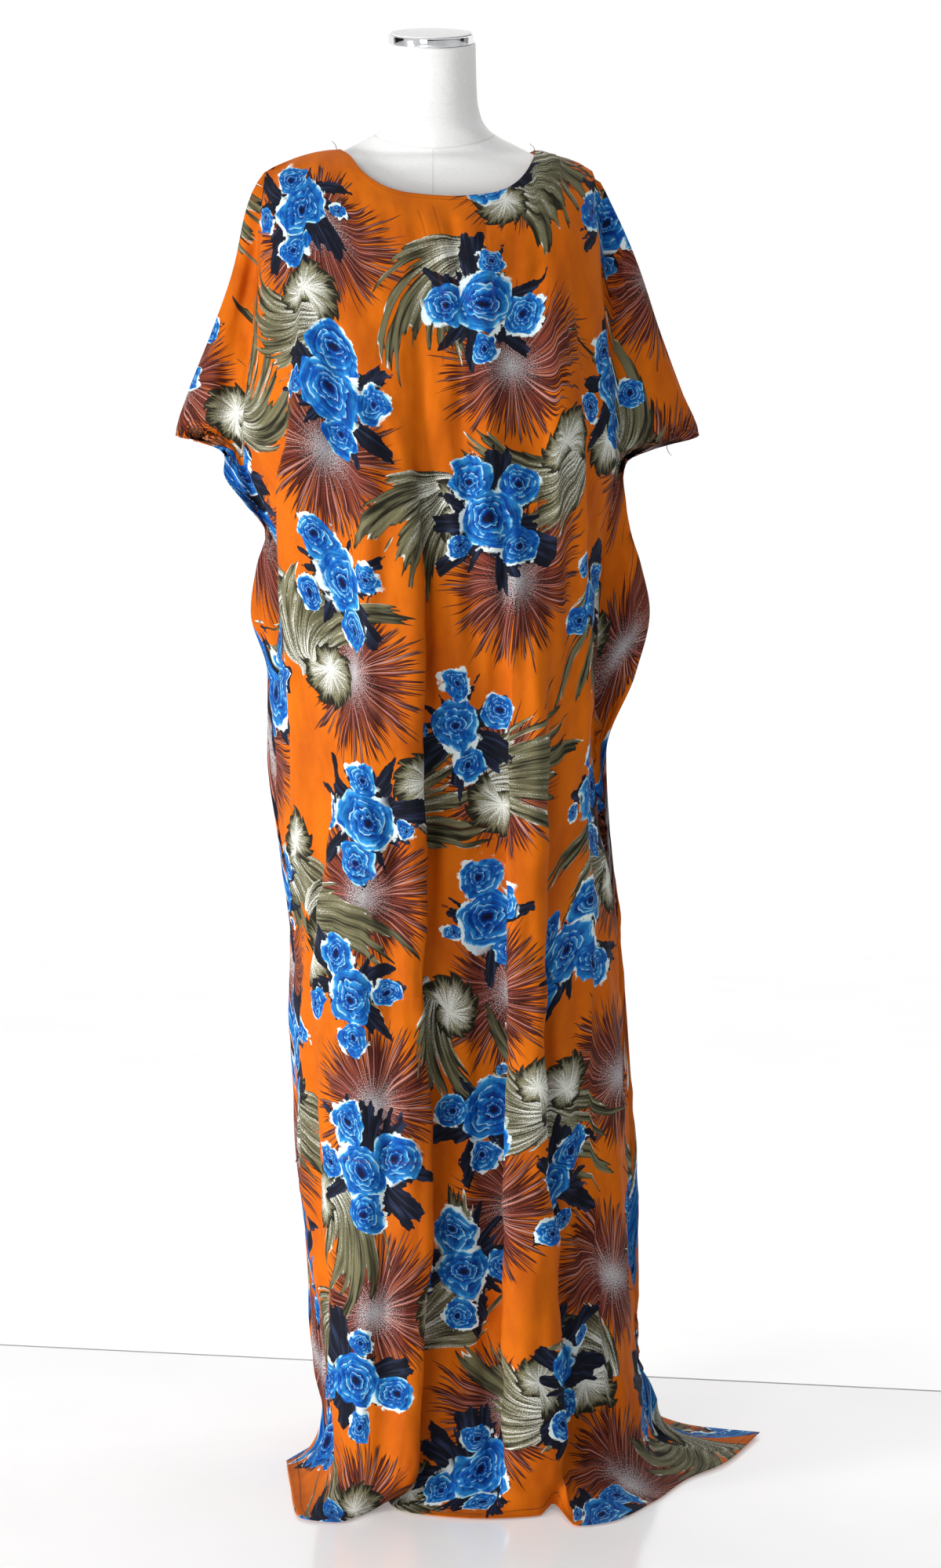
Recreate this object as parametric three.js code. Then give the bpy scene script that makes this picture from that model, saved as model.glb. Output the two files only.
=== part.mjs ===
// A bati dress hanging on a limbless dress form.
// Millimetres, +Z up, the front of the dress faces -Y, the floor is z = 0,
// and the pole of the dress form stands on the Z axis.
import * as THREE from 'three';
import { mergeVertices } from 'three/addons/utils/BufferGeometryUtils.js';

// The cloth and its cut
const CLOTH_WALL = 1.4;
const SEAM_GAP = 0.8;
const SHOULDER_TIP_Z = 1576;
const SLEEVE_TIP_Z = 1262;
const RIDGE_TOP_Z = 1607;
// The cloth rounds over the shoulders within this drop, and leaves the floor at the lift height
const SHOULDER_ROUND = 112;
const LIFT_Z = 74;
// How square a level section is on the body and how sharply the wings close at their edge
const BODY_SQUARENESS = 2.6;
const WING_SQUARENESS = 6;
const BLEND_POWER = 3;
// A fold fades out within this distance of the seams
const FOLD_FADE = 26;
// A fold's step is this wide for its height, and the high ones roll over the valley beside them
const STEP_MIN_REACH = 6;
const STEP_REACH_SHARE = 0.24;
const ROLL_FROM_HEIGHT = 14;
const ROLL_SHARE = 0.34;
// The bend at the floor: where the cloth turns out, as shares of the lift and of the run out
const BEND_HEIGHT_SHARE = 0.25;
const BEND_RUN_SHARE = 0.45;

// How finely the cloth is divided
const ROW_CROWDING = 1.55;
const RUN_OUT_ROWS = 6;
const SAMPLES = 260;
const END_CROWDING = 0.6;
const COLUMN_COUNT_Z = 500;
const SIDE_COLUMNS = 8;
const FOLD_COLUMNS = 4;

// The outline of the spread dress from the front: shoulder seam, sleeve top, sleeve hem, side seam
const OUTLINE = [
  { z: 1607, left: 60, right: 60 },
  { z: 1604, left: 116, right: 116 },
  { z: 1594, left: 163, right: 150 },
  { z: 1576, left: 204, right: 190 },
  { z: 1538, left: 224, right: 212 },
  { z: 1464, left: 241, right: 245 },
  { z: 1389, left: 267, right: 270 },
  { z: 1314, left: 297, right: 298 },
  { z: 1262, left: 312, right: 318 },
  { z: 1252, left: 268, right: 285 },
  { z: 1243, left: 251, right: 240 },
  { z: 1220, left: 253, right: 226 },
  { z: 1182, left: 229, right: 230 },
  { z: 1145, left: 204, right: 237 },
  { z: 1107, left: 215, right: 249 },
  { z: 1050, left: 223, right: 260 },
  { z: 974, left: 203, right: 243 },
  { z: 878, left: 204, right: 208 },
  { z: 763, left: 190, right: 214 },
  { z: 608, left: 174, right: 230 },
  { z: 433, left: 174, right: 242 },
  { z: 237, left: 156, right: 250 },
  { z: 158, left: 153, right: 248 },
  { z: 118, left: 151, right: 252 },
  { z: 98, left: 148, right: 264 },
  { z: 74, left: 140, right: 274 },
];

// The cut edge of the neck at the front and the back, from neck point to neck point
const FRONT_NECK = [
  { x: -116, z: 1604 },
  { x: -101, z: 1594 },
  { x: -87, z: 1576 },
  { x: -72, z: 1563 },
  { x: -53, z: 1553 },
  { x: -30, z: 1547 },
  { x: 22, z: 1543 },
  { x: 64, z: 1546 },
  { x: 84, z: 1552 },
  { x: 98, z: 1561 },
  { x: 110, z: 1575 },
  { x: 118, z: 1592 },
  { x: 122, z: 1603 },
];

const BACK_NECK = [
  { x: -116, z: 1604 },
  { x: -96, z: 1595 },
  { x: -66, z: 1588 },
  { x: 4, z: 1585 },
  { x: 72, z: 1588 },
  { x: 102, z: 1595 },
  { x: 122, z: 1603 },
];

// Half width of the cloth that lies on the body, inside the sleeves and side wings
const BODY = [
  { z: 1576, left: 204, right: 190 },
  { z: 1538, left: 208, right: 196 },
  { z: 1450, left: 214, right: 205 },
  { z: 1335, left: 225, right: 214 },
  { z: 1240, left: 232, right: 221 },
  { z: 1190, left: 216, right: 214 },
  { z: 1145, left: 194, right: 206 },
  { z: 1050, left: 187, right: 199 },
  { z: 930, left: 190, right: 200 },
  { z: 840, left: 190, right: 200 },
  { z: 763, left: 184, right: 207 },
  { z: 608, left: 168, right: 222 },
  { z: 433, left: 168, right: 234 },
  { z: 237, left: 150, right: 242 },
  { z: 74, left: 136, right: 258 },
];

// How far the cloth stands before and behind the seams, on the body and in the sleeves and wings
const DEPTH = [
  { z: 1607, front: 88, back: 74, wing: 6 },
  { z: 1550, front: 96, back: 82, wing: 12 },
  { z: 1450, front: 124, back: 96, wing: 18 },
  { z: 1350, front: 136, back: 98, wing: 24 },
  { z: 1240, front: 134, back: 98, wing: 30 },
  { z: 1050, front: 134, back: 122, wing: 22 },
  { z: 900, front: 140, back: 144, wing: 18 },
  { z: 600, front: 152, back: 164, wing: 20 },
  { z: 300, front: 172, back: 184, wing: 24 },
  { z: 74, front: 190, back: 206, wing: 28 },
];

// How far the two layers of a sleeve part at its hem, as a share of the wing's depth
const SLEEVE_OPENING = [
  { z: 1262, share: 0 },
  { z: 1254, share: 0.6 },
  { z: 1236, share: 1 },
  { z: 1182, share: 0.7 },
  { z: 1152, share: 0.15 },
  { z: 1142, share: 0 },
];

// The lines that the front folds follow down the panel, as places across it
const FRONT_LINES = [
  { z: 1600, recess: -150, leftPleat: -96, centreEdge: -40, narrowLeft: 50, narrowRight: 98, sidePleat: 148 },
  { z: 1300, recess: -166, leftPleat: -94, centreEdge: -18, narrowLeft: 84, narrowRight: 128, sidePleat: 172 },
  { z: 1180, recess: -178, leftPleat: -95, centreEdge: -17, narrowLeft: 86, narrowRight: 128, sidePleat: 179 },
  { z: 1060, recess: -180, leftPleat: -97, centreEdge: -17, narrowLeft: 87, narrowRight: 127, sidePleat: 187 },
  { z: 860, recess: -172, leftPleat: -116, centreEdge: -17, narrowLeft: 87, narrowRight: 126, sidePleat: 190 },
  { z: 600, recess: -160, leftPleat: -138, centreEdge: -14, narrowLeft: 87, narrowRight: 126, sidePleat: 188 },
  { z: 400, recess: -157, leftPleat: -136, centreEdge: -10, narrowLeft: 88, narrowRight: 129, sidePleat: 190 },
  { z: 240, recess: -142, leftPleat: -122, centreEdge: -14, narrowLeft: 88, narrowRight: 144, sidePleat: 196 },
  { z: 74, recess: -130, leftPleat: -112, centreEdge: -22, narrowLeft: 89, narrowRight: 152, sidePleat: 208 },
];

// How far each front fold steps forward (+) or back (-) as its line is crossed from left to right
const FRONT_STEPS = [
  { z: 1420, recess: 0, leftPleat: 0, centreEdge: 0, narrowLeft: 0, narrowRight: 0, sidePleat: 0 },
  { z: 1300, recess: 22, leftPleat: 0, centreEdge: 0, narrowLeft: 0, narrowRight: 0, sidePleat: -8 },
  { z: 1200, recess: 52, leftPleat: 2, centreEdge: -5, narrowLeft: 0, narrowRight: 0, sidePleat: -30 },
  { z: 1050, recess: 34, leftPleat: 14, centreEdge: -24, narrowLeft: 6, narrowRight: -4, sidePleat: -36 },
  { z: 860, recess: 16, leftPleat: 28, centreEdge: -44, narrowLeft: 26, narrowRight: -16, sidePleat: -22 },
  { z: 600, recess: 10, leftPleat: 38, centreEdge: -60, narrowLeft: 50, narrowRight: -38, sidePleat: -8 },
  { z: 300, recess: 10, leftPleat: 44, centreEdge: -66, narrowLeft: 58, narrowRight: -52, sidePleat: 22 },
  { z: 74, recess: 10, leftPleat: 44, centreEdge: -62, narrowLeft: 54, narrowRight: -50, sidePleat: 26 },
];

// The lines and steps of the back folds
const BACK_LINES = [
  { z: 1600, outerLeft: -150, innerLeft: -80, middle: -10, innerRight: 66, outerRight: 140 },
  { z: 1300, outerLeft: -170, innerLeft: -96, middle: -14, innerRight: 70, outerRight: 166 },
  { z: 1000, outerLeft: -160, innerLeft: -92, middle: -8, innerRight: 84, outerRight: 168 },
  { z: 600, outerLeft: -140, innerLeft: -84, middle: 8, innerRight: 100, outerRight: 180 },
  { z: 74, outerLeft: -112, innerLeft: -58, middle: 26, innerRight: 118, outerRight: 206 },
];

const BACK_STEPS = [
  { z: 1420, outerLeft: 0, innerLeft: 0, middle: 0, innerRight: 0, outerRight: 0 },
  { z: 1250, outerLeft: -14, innerLeft: 0, middle: 4, innerRight: -4, outerRight: 12 },
  { z: 1000, outerLeft: -26, innerLeft: 12, middle: -14, innerRight: 16, outerRight: 18 },
  { z: 600, outerLeft: -22, innerLeft: 36, middle: -40, innerRight: 38, outerRight: -30 },
  { z: 74, outerLeft: -18, innerLeft: 46, middle: -50, innerRight: 48, outerRight: -44 },
];

// The hem where it runs out on the floor, from the left seam to the right seam, seen from above
const FRONT_HEM = [
  { share: 0, x: -184, y: -28, z: 3 },
  { share: 0.1, x: -174, y: -130, z: 2 },
  { share: 0.18, x: -158, y: -256, z: 2 },
  { share: 0.24, x: -114, y: -276, z: 2 },
  { share: 0.3, x: -84, y: -242, z: 2 },
  { share: 0.36, x: -62, y: -184, z: 5 },
  { share: 0.41, x: -44, y: -226, z: 2 },
  { share: 0.47, x: -12, y: -246, z: 2 },
  { share: 0.58, x: 62, y: -262, z: 2 },
  { share: 0.64, x: 124, y: -250, z: 2 },
  { share: 0.665, x: 140, y: -214, z: 6 },
  { share: 0.7, x: 166, y: -290, z: 2 },
  { share: 0.75, x: 204, y: -276, z: 2 },
  { share: 0.83, x: 264, y: -188, z: 2 },
  { share: 0.89, x: 306, y: -100, z: 2 },
  { share: 0.94, x: 356, y: -34, z: 3 },
  { share: 1, x: 409, y: 96, z: 4 },
];

const BACK_HEM = [
  { share: 0, x: -184, y: -28, z: 3 },
  { share: 0.09, x: -150, y: 60, z: 3 },
  { share: 0.2, x: -134, y: 170, z: 2 },
  { share: 0.32, x: -84, y: 252, z: 2 },
  { share: 0.42, x: -22, y: 236, z: 5 },
  { share: 0.52, x: 52, y: 272, z: 2 },
  { share: 0.62, x: 118, y: 250, z: 5 },
  { share: 0.72, x: 196, y: 268, z: 2 },
  { share: 0.84, x: 268, y: 206, z: 2 },
  { share: 0.93, x: 320, y: 132, z: 4 },
  { share: 1, x: 409, y: 96, z: 4 },
];

const FRONT_PANEL = {
  facing: -1,
  depth: 'front',
  neck: FRONT_NECK,
  lines: FRONT_LINES,
  steps: FRONT_STEPS,
  hem: FRONT_HEM,
  columns: 50,
  rows: 26,
};

const BACK_PANEL = {
  facing: 1,
  depth: 'back',
  neck: BACK_NECK,
  lines: BACK_LINES,
  steps: BACK_STEPS,
  hem: BACK_HEM,
  columns: 37,
  rows: 20,
};

// The dress form: half width, depth before and behind, and how square a level ring is
const TORSO = [
  { z: 820, width: 150, front: 104, back: 92, square: 2.25 },
  { z: 828, width: 158, front: 110, back: 98, square: 2.25 },
  { z: 900, width: 166, front: 116, back: 106, square: 2.25 },
  { z: 1000, width: 158, front: 108, back: 98, square: 2.25 },
  { z: 1090, width: 136, front: 94, back: 78, square: 2.25 },
  { z: 1160, width: 126, front: 90, back: 70, square: 2.25 },
  { z: 1250, width: 136, front: 104, back: 76, square: 2.25 },
  { z: 1360, width: 156, front: 122, back: 84, square: 2.25 },
  { z: 1440, width: 172, front: 112, back: 86, square: 2.25 },
  { z: 1500, width: 184, front: 94, back: 78, square: 2.25 },
  { z: 1540, width: 190, front: 72, back: 66, square: 2.25 },
  { z: 1562, width: 186, front: 61, back: 54, square: 2.2 },
  { z: 1578, width: 168, front: 53, back: 46, square: 2 },
  { z: 1590, width: 136, front: 50, back: 42, square: 1.7 },
  { z: 1598, width: 116, front: 46, back: 40, square: 1.5 },
  { z: 1609, width: 94, front: 49, back: 44, square: 1.5 },
  { z: 1617, width: 78, front: 51, back: 47, square: 1.7 },
  { z: 1626, width: 65, front: 52, back: 48, square: 2 },
  { z: 1640, width: 56, front: 51, back: 48, square: 2.1 },
  { z: 1664, width: 51, front: 49, back: 48, square: 2.1 },
  { z: 1728, width: 49, front: 48, back: 48, square: 2.1 },
];
const TORSO_SIDES = 36;
const NECK_TILT = THREE.MathUtils.degToRad(12);
const NECK_TILT_FROM = 1632;
const CAP_RADIUS = 50.8;
const CAP_RIM_HEIGHT = 10.5;
const CAP_TOP_THICKNESS = 1.6;
const CAP_X = -4;
const SEAT = 0.3;
const POLE_RADIUS = 14;
const BASE_RADIUS = 116;
const BASE_HEIGHT = 13;
const BASE_EDGE = 4;

const MATERIALS = {
  cloth: new THREE.MeshStandardMaterial({ color: 0xd97a14, roughness: 0.85, metalness: 0 }),
  clothBack: new THREE.MeshStandardMaterial({ color: 0xc46a12, roughness: 0.85, metalness: 0 }),
  formCloth: new THREE.MeshStandardMaterial({ color: 0xf1efeb, roughness: 0.9, metalness: 0 }),
  chrome: new THREE.MeshStandardMaterial({ color: 0xd5d8da, roughness: 0.12, metalness: 1 }),
  steel: new THREE.MeshStandardMaterial({ color: 0xe8e8e6, roughness: 0.5, metalness: 0.1 }),
};

// One column of a table at a height, with slopes that never overshoot its rows
function at(rows, key, where, by = 'z') {
  const rising = rows[rows.length - 1][by] > rows[0][by];
  const line = rising ? rows : [...rows].reverse();
  const place = THREE.MathUtils.clamp(where, line[0][by], line[line.length - 1][by]);
  let i = 0;
  while (i < line.length - 2 && place > line[i + 1][by]) i += 1;
  const slope = (k) => (line[k + 1][key] - line[k][key]) / (line[k + 1][by] - line[k][by]);
  const tangent = (k) => {
    if (k === 0) return slope(0);
    if (k === line.length - 1) return slope(k - 1);
    const before = slope(k - 1);
    const after = slope(k);
    return before * after <= 0 ? 0 : (2 * before * after) / (before + after);
  };
  const span = line[i + 1][by] - line[i][by];
  const t = (place - line[i][by]) / span;
  const a = line[i][key];
  const b = line[i + 1][key];
  const bend = (1 - t) * tangent(i) * span - t * tangent(i + 1) * span;
  const turn = (b - a) * (1 - 2 * t);
  return a + (b - a) * t + t * (1 - t) * (bend - turn);
}

// The same, where the table names left and right apart
const sideAt = (rows, x, z) => at(rows, x < 0 ? 'left' : 'right', z);

// The height of the shoulder seam and sleeve top above a place on the left or right
function ridgeZ(x) {
  let low = SLEEVE_TIP_Z;
  let high = RIDGE_TOP_Z;
  for (let i = 0; i < 24; i += 1) {
    const middle = (low + high) / 2;
    if (sideAt(OUTLINE, x, middle) > Math.abs(x)) low = middle;
    else high = middle;
  }
  return (low + high) / 2;
}

const smooth = (t) => {
  const s = THREE.MathUtils.clamp(t, 0, 1);
  return s * s * (3 - 2 * s);
};

// The height of a squared circle over a share of its half width
const squircle = (share, power) => (1 - share ** power) ** (1 / power);

// How far the cloth stands out from the seam plane, before the folds
function standOff(panel, x, z, crest) {
  const edge = sideAt(OUTLINE, x, z);
  const body = Math.min(sideAt(BODY, x, Math.min(z, SHOULDER_TIP_Z)), edge);
  const across = Math.min(Math.abs(x) / body, 1);
  const toShoulder = THREE.MathUtils.clamp((crest - z) / SHOULDER_ROUND, 0, 1);
  const rounding = Math.sqrt(1 - (1 - toShoulder) ** 2);
  const onBody = at(DEPTH, panel.depth, z) * rounding * squircle(across, BODY_SQUARENESS);
  const toEdge = Math.min(Math.abs(x) / edge, 1);
  const closing = toEdge ** WING_SQUARENESS * (1 - at(SLEEVE_OPENING, 'share', z));
  const inWing = at(DEPTH, 'wing', z) * Math.sqrt(1 - closing) * Math.min(1, rounding * 1.6);
  return (onBody ** BLEND_POWER + inWing ** BLEND_POWER) ** (1 / BLEND_POWER);
}

const stepReach = (height) => STEP_MIN_REACH + STEP_REACH_SHARE * Math.abs(height);
const stepRoll = (height) => Math.max(0, Math.abs(height) - ROLL_FROM_HEIGHT) * ROLL_SHARE;

// A panel's fold lines, steps and edges at one height
function foldsAt(panel, z) {
  const names = Object.keys(panel.lines[0]).filter((name) => name !== 'z');
  return names.map((name) => {
    const height = at(panel.steps, name, z);
    return { x: at(panel.lines, name, z), height, reach: stepReach(height), roll: stepRoll(height) };
  });
}

// One point of a level section, at a place across the panel
function sectionPoint(panel, folds, x, z, crest) {
  const edge = sideAt(OUTLINE, x, z);
  const fade = smooth((edge - Math.abs(x)) / FOLD_FADE);
  let out = standOff(panel, x, z, crest);
  let shift = 0;
  let level = 0;
  for (const fold of folds) {
    const s = THREE.MathUtils.clamp((x - fold.x) / fold.reach, -1, 1);
    level += fold.height * (smooth((s + 1) / 2) - 0.5);
    shift -= fold.roll * Math.sin(Math.PI * s);
  }
  out += level * fade;
  return new THREE.Vector2(x + shift, panel.facing * (SEAM_GAP / 2 + Math.max(out, 0)));
}

// A level section from seam to seam, its length, and where each fold line and body edge crosses it
function section(panel, z) {
  const left = -sideAt(OUTLINE, -1, z);
  const right = sideAt(OUTLINE, 1, z);
  const bodyLeft = -Math.min(sideAt(BODY, -1, Math.min(z, SHOULDER_TIP_Z)), -left);
  const bodyRight = Math.min(sideAt(BODY, 1, Math.min(z, SHOULDER_TIP_Z)), right);
  const folds = foldsAt(panel, z);
  const points = [];
  for (let i = 0; i <= SAMPLES; i += 1) {
    const t = i / SAMPLES;
    const crowded = t - (END_CROWDING * Math.sin(2 * Math.PI * t)) / (2 * Math.PI);
    const x = left + (right - left) * crowded;
    const crest = ridgeCache(x);
    points.push({ x, place: sectionPoint(panel, folds, x, z, crest), run: 0 });
  }
  for (let i = 1; i < points.length; i += 1) {
    points[i].run = points[i - 1].run + points[i].place.distanceTo(points[i - 1].place);
  }
  const stops = [left, bodyLeft, ...folds.map((fold) => fold.x), bodyRight, right];
  return { points, stops: stops.map((x) => runAt(points, x)) };
}

function runAt(points, x) {
  let i = 1;
  while (i < points.length - 1 && points[i].x < x) i += 1;
  const a = points[i - 1];
  const b = points[i];
  const t = THREE.MathUtils.clamp((x - a.x) / (b.x - a.x), 0, 1);
  return a.run + (b.run - a.run) * t;
}

function placeAt(points, run) {
  let i = 1;
  while (i < points.length - 1 && points[i].run < run) i += 1;
  const a = points[i - 1];
  const b = points[i];
  const t = b.run > a.run ? THREE.MathUtils.clamp((run - a.run) / (b.run - a.run), 0, 1) : 0;
  return { x: a.x + (b.x - a.x) * t, place: a.place.clone().lerp(b.place, t) };
}

const ridges = new Map();
function ridgeCache(x) {
  const key = Math.round(x * 2);
  if (!ridges.has(key)) ridges.set(key, ridgeZ(key / 2));
  return ridges.get(key);
}

const sections = new Map();
function sectionCache(panel, z) {
  const key = `${panel.depth} ${z.toFixed(1)}`;
  if (!sections.has(key)) sections.set(key, section(panel, Number(z.toFixed(1))));
  return sections.get(key);
}

// The share of a sleeve's cloth that hangs at a height: it grows down the sleeve top
const sleeveShare = (z) =>
  THREE.MathUtils.clamp((SHOULDER_TIP_Z - z) / (SHOULDER_TIP_Z - SLEEVE_TIP_Z), 0.001, 1);

// A column of the panel is a stretch between two stops and a share of that stretch
function columnPlace(panel, column, z) {
  const { points, stops } = sectionCache(panel, z);
  const last = stops.length - 2;
  let share = column.share;
  if (column.stretch === 0) share = 1 - Math.min(1, (1 - share) / sleeveShare(z));
  if (column.stretch === last) share = Math.min(1, share / sleeveShare(z));
  const from = stops[column.stretch];
  const to = stops[column.stretch + 1];
  return placeAt(points, from + (to - from) * share);
}

// The height of the cut edge over a place: the scooped neck, then the shoulder seam
function cutEdgeZ(panel, x) {
  const ridge = ridgeCache(x);
  const inNeck = x > panel.neck[0].x && x < panel.neck[panel.neck.length - 1].x;
  return inNeck ? Math.min(at(panel.neck, 'z', x, 'x'), ridge) : ridge;
}

function columnTop(panel, column) {
  const last = panel.stretches - 1;
  if (column.stretch === 0) return SHOULDER_TIP_Z - (1 - column.share) * (SHOULDER_TIP_Z - SLEEVE_TIP_Z);
  if (column.stretch === last) return SHOULDER_TIP_Z - column.share * (SHOULDER_TIP_Z - SLEEVE_TIP_Z);
  let z = SHOULDER_TIP_Z;
  for (let i = 0; i < 12; i += 1) {
    z = (z + cutEdgeZ(panel, columnPlace(panel, column, z).x)) / 2;
  }
  return z;
}

// Columns shared out over the stretches by their length low on the skirt
function makeColumns(panel) {
  const { stops } = section(panel, COLUMN_COUNT_Z);
  panel.stretches = stops.length - 1;
  const total = stops[stops.length - 1] - stops[0];
  const columns = [];
  for (let stretch = 0; stretch < panel.stretches; stretch += 1) {
    const outer = stretch === 0 || stretch === panel.stretches - 1;
    const length = stops[stretch + 1] - stops[stretch];
    const fewest = outer ? SIDE_COLUMNS : FOLD_COLUMNS;
    const count = Math.max(fewest, Math.round((length / total) * panel.columns));
    const first = stretch === 0 ? 0 : 1;
    for (let i = first; i <= count; i += 1) columns.push({ stretch, share: i / count });
  }
  return columns;
}

// The hem's place on the floor for a column, by its share of the hem
function hemPoint(panel, share) {
  return new THREE.Vector3(
    at(panel.hem, 'x', share, 'share'),
    at(panel.hem, 'y', share, 'share') + panel.facing * (SEAM_GAP / 2),
    at(panel.hem, 'z', share, 'share'),
  );
}

// A column runs down from the cut edge, bends at the floor and runs out to the hem
function columnPoints(panel, column, hemShare) {
  const top = columnTop(panel, column);
  const points = [];
  for (let row = 0; row <= panel.rows; row += 1) {
    const z = top + (LIFT_Z - top) * (row / panel.rows) ** ROW_CROWDING;
    const { place } = columnPlace(panel, column, z);
    points.push(new THREE.Vector3(place.x, place.y, z));
  }
  const foot = points[points.length - 1];
  const hem = hemPoint(panel, hemShare);
  const above = new THREE.Vector3(foot.x, foot.y, LIFT_Z * BEND_HEIGHT_SHARE);
  const before = new THREE.Vector3().lerpVectors(hem, foot, BEND_RUN_SHARE).setZ(hem.z);
  const bend = new THREE.CubicBezierCurve3(foot, above, before, hem);
  for (let i = 1; i <= RUN_OUT_ROWS; i += 1) points.push(bend.getPoint(i / RUN_OUT_ROWS));
  return points;
}

// The panel's middle surface as a grid of points
function panelGrid(panel) {
  const columns = makeColumns(panel);
  const { stops } = sectionCache(panel, LIFT_Z);
  const total = stops[stops.length - 1];
  return columns.map((column) => {
    const run = stops[column.stretch] + (stops[column.stretch + 1] - stops[column.stretch]) * column.share;
    return columnPoints(panel, column, run / total);
  });
}

// The outward direction at each point of the grid, level with the seam plane along the seams
function gridNormals(grid, facing) {
  const last = grid.length - 1;
  const end = grid[0].length - 1;
  return grid.map((line, i) => line.map((point, j) => {
    const across = grid[Math.min(i + 1, last)][j].clone().sub(grid[Math.max(i - 1, 0)][j]);
    const down = line[Math.min(j + 1, end)].clone().sub(line[Math.max(j - 1, 0)]);
    const normal = across.cross(down).normalize().multiplyScalar(facing);
    if (Math.abs(point.y) < SEAM_GAP / 2 + 0.01) normal.setY(0).normalize();
    return normal;
  }));
}

// A closed wall round a grid of points
function wall(grid, facing) {
  const normals = gridNormals(grid, facing);
  const across = grid.length;
  const down = grid[0].length;
  const positions = [];
  for (const side of [0.5, -0.5]) {
    grid.forEach((line, i) => line.forEach((point, j) => {
      positions.push(...point.clone().addScaledVector(normals[i][j], side * CLOTH_WALL).toArray());
    }));
  }
  const index = [];
  const id = (side, i, j) => side * across * down + i * down + j;
  const quad = (a, b, c, d) => {
    if (facing < 0) index.push(a, b, c, a, c, d);
    else index.push(a, c, b, a, d, c);
  };
  for (let i = 0; i < across - 1; i += 1) {
    for (let j = 0; j < down - 1; j += 1) {
      quad(id(0, i, j), id(0, i, j + 1), id(0, i + 1, j + 1), id(0, i + 1, j));
      quad(id(1, i, j), id(1, i + 1, j), id(1, i + 1, j + 1), id(1, i, j + 1));
    }
    quad(id(0, i, 0), id(0, i + 1, 0), id(1, i + 1, 0), id(1, i, 0));
    quad(id(0, i, down - 1), id(1, i, down - 1), id(1, i + 1, down - 1), id(0, i + 1, down - 1));
  }
  for (let j = 0; j < down - 1; j += 1) {
    quad(id(0, 0, j), id(1, 0, j), id(1, 0, j + 1), id(0, 0, j + 1));
    quad(id(0, across - 1, j), id(0, across - 1, j + 1), id(1, across - 1, j + 1), id(1, across - 1, j));
  }
  const geometry = new THREE.BufferGeometry();
  geometry.setAttribute('position', new THREE.Float32BufferAttribute(positions, 3));
  geometry.setIndex(index);
  return geometry;
}

// A solid through rounded rings, closed by a flat face at each end
function loft(rings) {
  const sides = rings[0].length;
  const positions = rings.flat().flatMap((point) => point.toArray());
  const index = [];
  for (let r = 0; r < rings.length - 1; r += 1) {
    for (let i = 0; i < sides; i += 1) {
      const next = (i + 1) % sides;
      const a = r * sides + i;
      const b = r * sides + next;
      index.push(a, b, b + sides, a, b + sides, a + sides);
    }
  }
  for (let i = 1; i < sides - 1; i += 1) {
    index.push(0, i + 1, i);
    const top = (rings.length - 1) * sides;
    index.push(top, top + i, top + i + 1);
  }
  const geometry = new THREE.BufferGeometry();
  geometry.setAttribute('position', new THREE.Float32BufferAttribute(positions, 3));
  geometry.setIndex(index);
  return geometry;
}

// A level ring of the torso, leaning forward above the base of the neck
function torsoRing(z) {
  const width = at(TORSO, 'width', z);
  const front = at(TORSO, 'front', z);
  const back = at(TORSO, 'back', z);
  const power = 2 / at(TORSO, 'square', z);
  const top = TORSO[TORSO.length - 1].z;
  const lean = Math.max(0, (z - NECK_TILT_FROM) / (top - NECK_TILT_FROM));
  const ring = [];
  for (let i = 0; i < TORSO_SIDES; i += 1) {
    const turn = (2 * Math.PI * i) / TORSO_SIDES;
    const c = Math.cos(turn);
    const s = Math.sin(turn);
    const x = width * Math.sign(c) * Math.abs(c) ** power;
    const y = (s < 0 ? front : back) * Math.sign(s) * Math.abs(s) ** power;
    ring.push(new THREE.Vector3(x, y, z + y * Math.tan(NECK_TILT) * lean));
  }
  return ring;
}

function torso() {
  const heights = [];
  TORSO.slice(0, -1).forEach((row, i) => {
    const next = TORSO[i + 1].z;
    const parts = next - row.z > 45 ? 2 : 1;
    for (let k = 0; k < parts; k += 1) heights.push(row.z + ((next - row.z) * k) / parts);
  });
  heights.push(TORSO[TORSO.length - 1].z);
  return loft(heights.map(torsoRing));
}

function disc(radius, height, edge) {
  const profile = [
    new THREE.Vector2(0, 0),
    new THREE.Vector2(radius, 0),
    new THREE.Vector2(radius, height - edge),
    new THREE.Vector2(radius - edge, height),
    new THREE.Vector2(0, height),
  ];
  return new THREE.LatheGeometry(profile, 48).rotateX(Math.PI / 2);
}

function named(name, geometry, material) {
  const bare = geometry.clone();
  bare.deleteAttribute('normal');
  bare.deleteAttribute('uv');
  const solid = mergeVertices(bare, 1e-4);
  solid.computeVertexNormals();
  const mesh = new THREE.Mesh(solid, material);
  mesh.name = name;
  return mesh;
}

// The neck cap: a chrome rim with a cloth top, lying on the leaning top of the neck
function neckCap() {
  const cap = new THREE.Group();
  const rim = named('neck_cap_rim', disc(CAP_RADIUS, CAP_RIM_HEIGHT, 1.2), MATERIALS.chrome);
  const top = named('neck_cap_top', disc(CAP_RADIUS - 2.4, CAP_TOP_THICKNESS, 0.6), MATERIALS.formCloth);
  top.position.z = CAP_RIM_HEIGHT + SEAT;
  cap.add(rim, top);
  cap.position.set(CAP_X, 0, TORSO[TORSO.length - 1].z + SEAT);
  cap.rotation.x = NECK_TILT;
  return cap;
}

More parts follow.
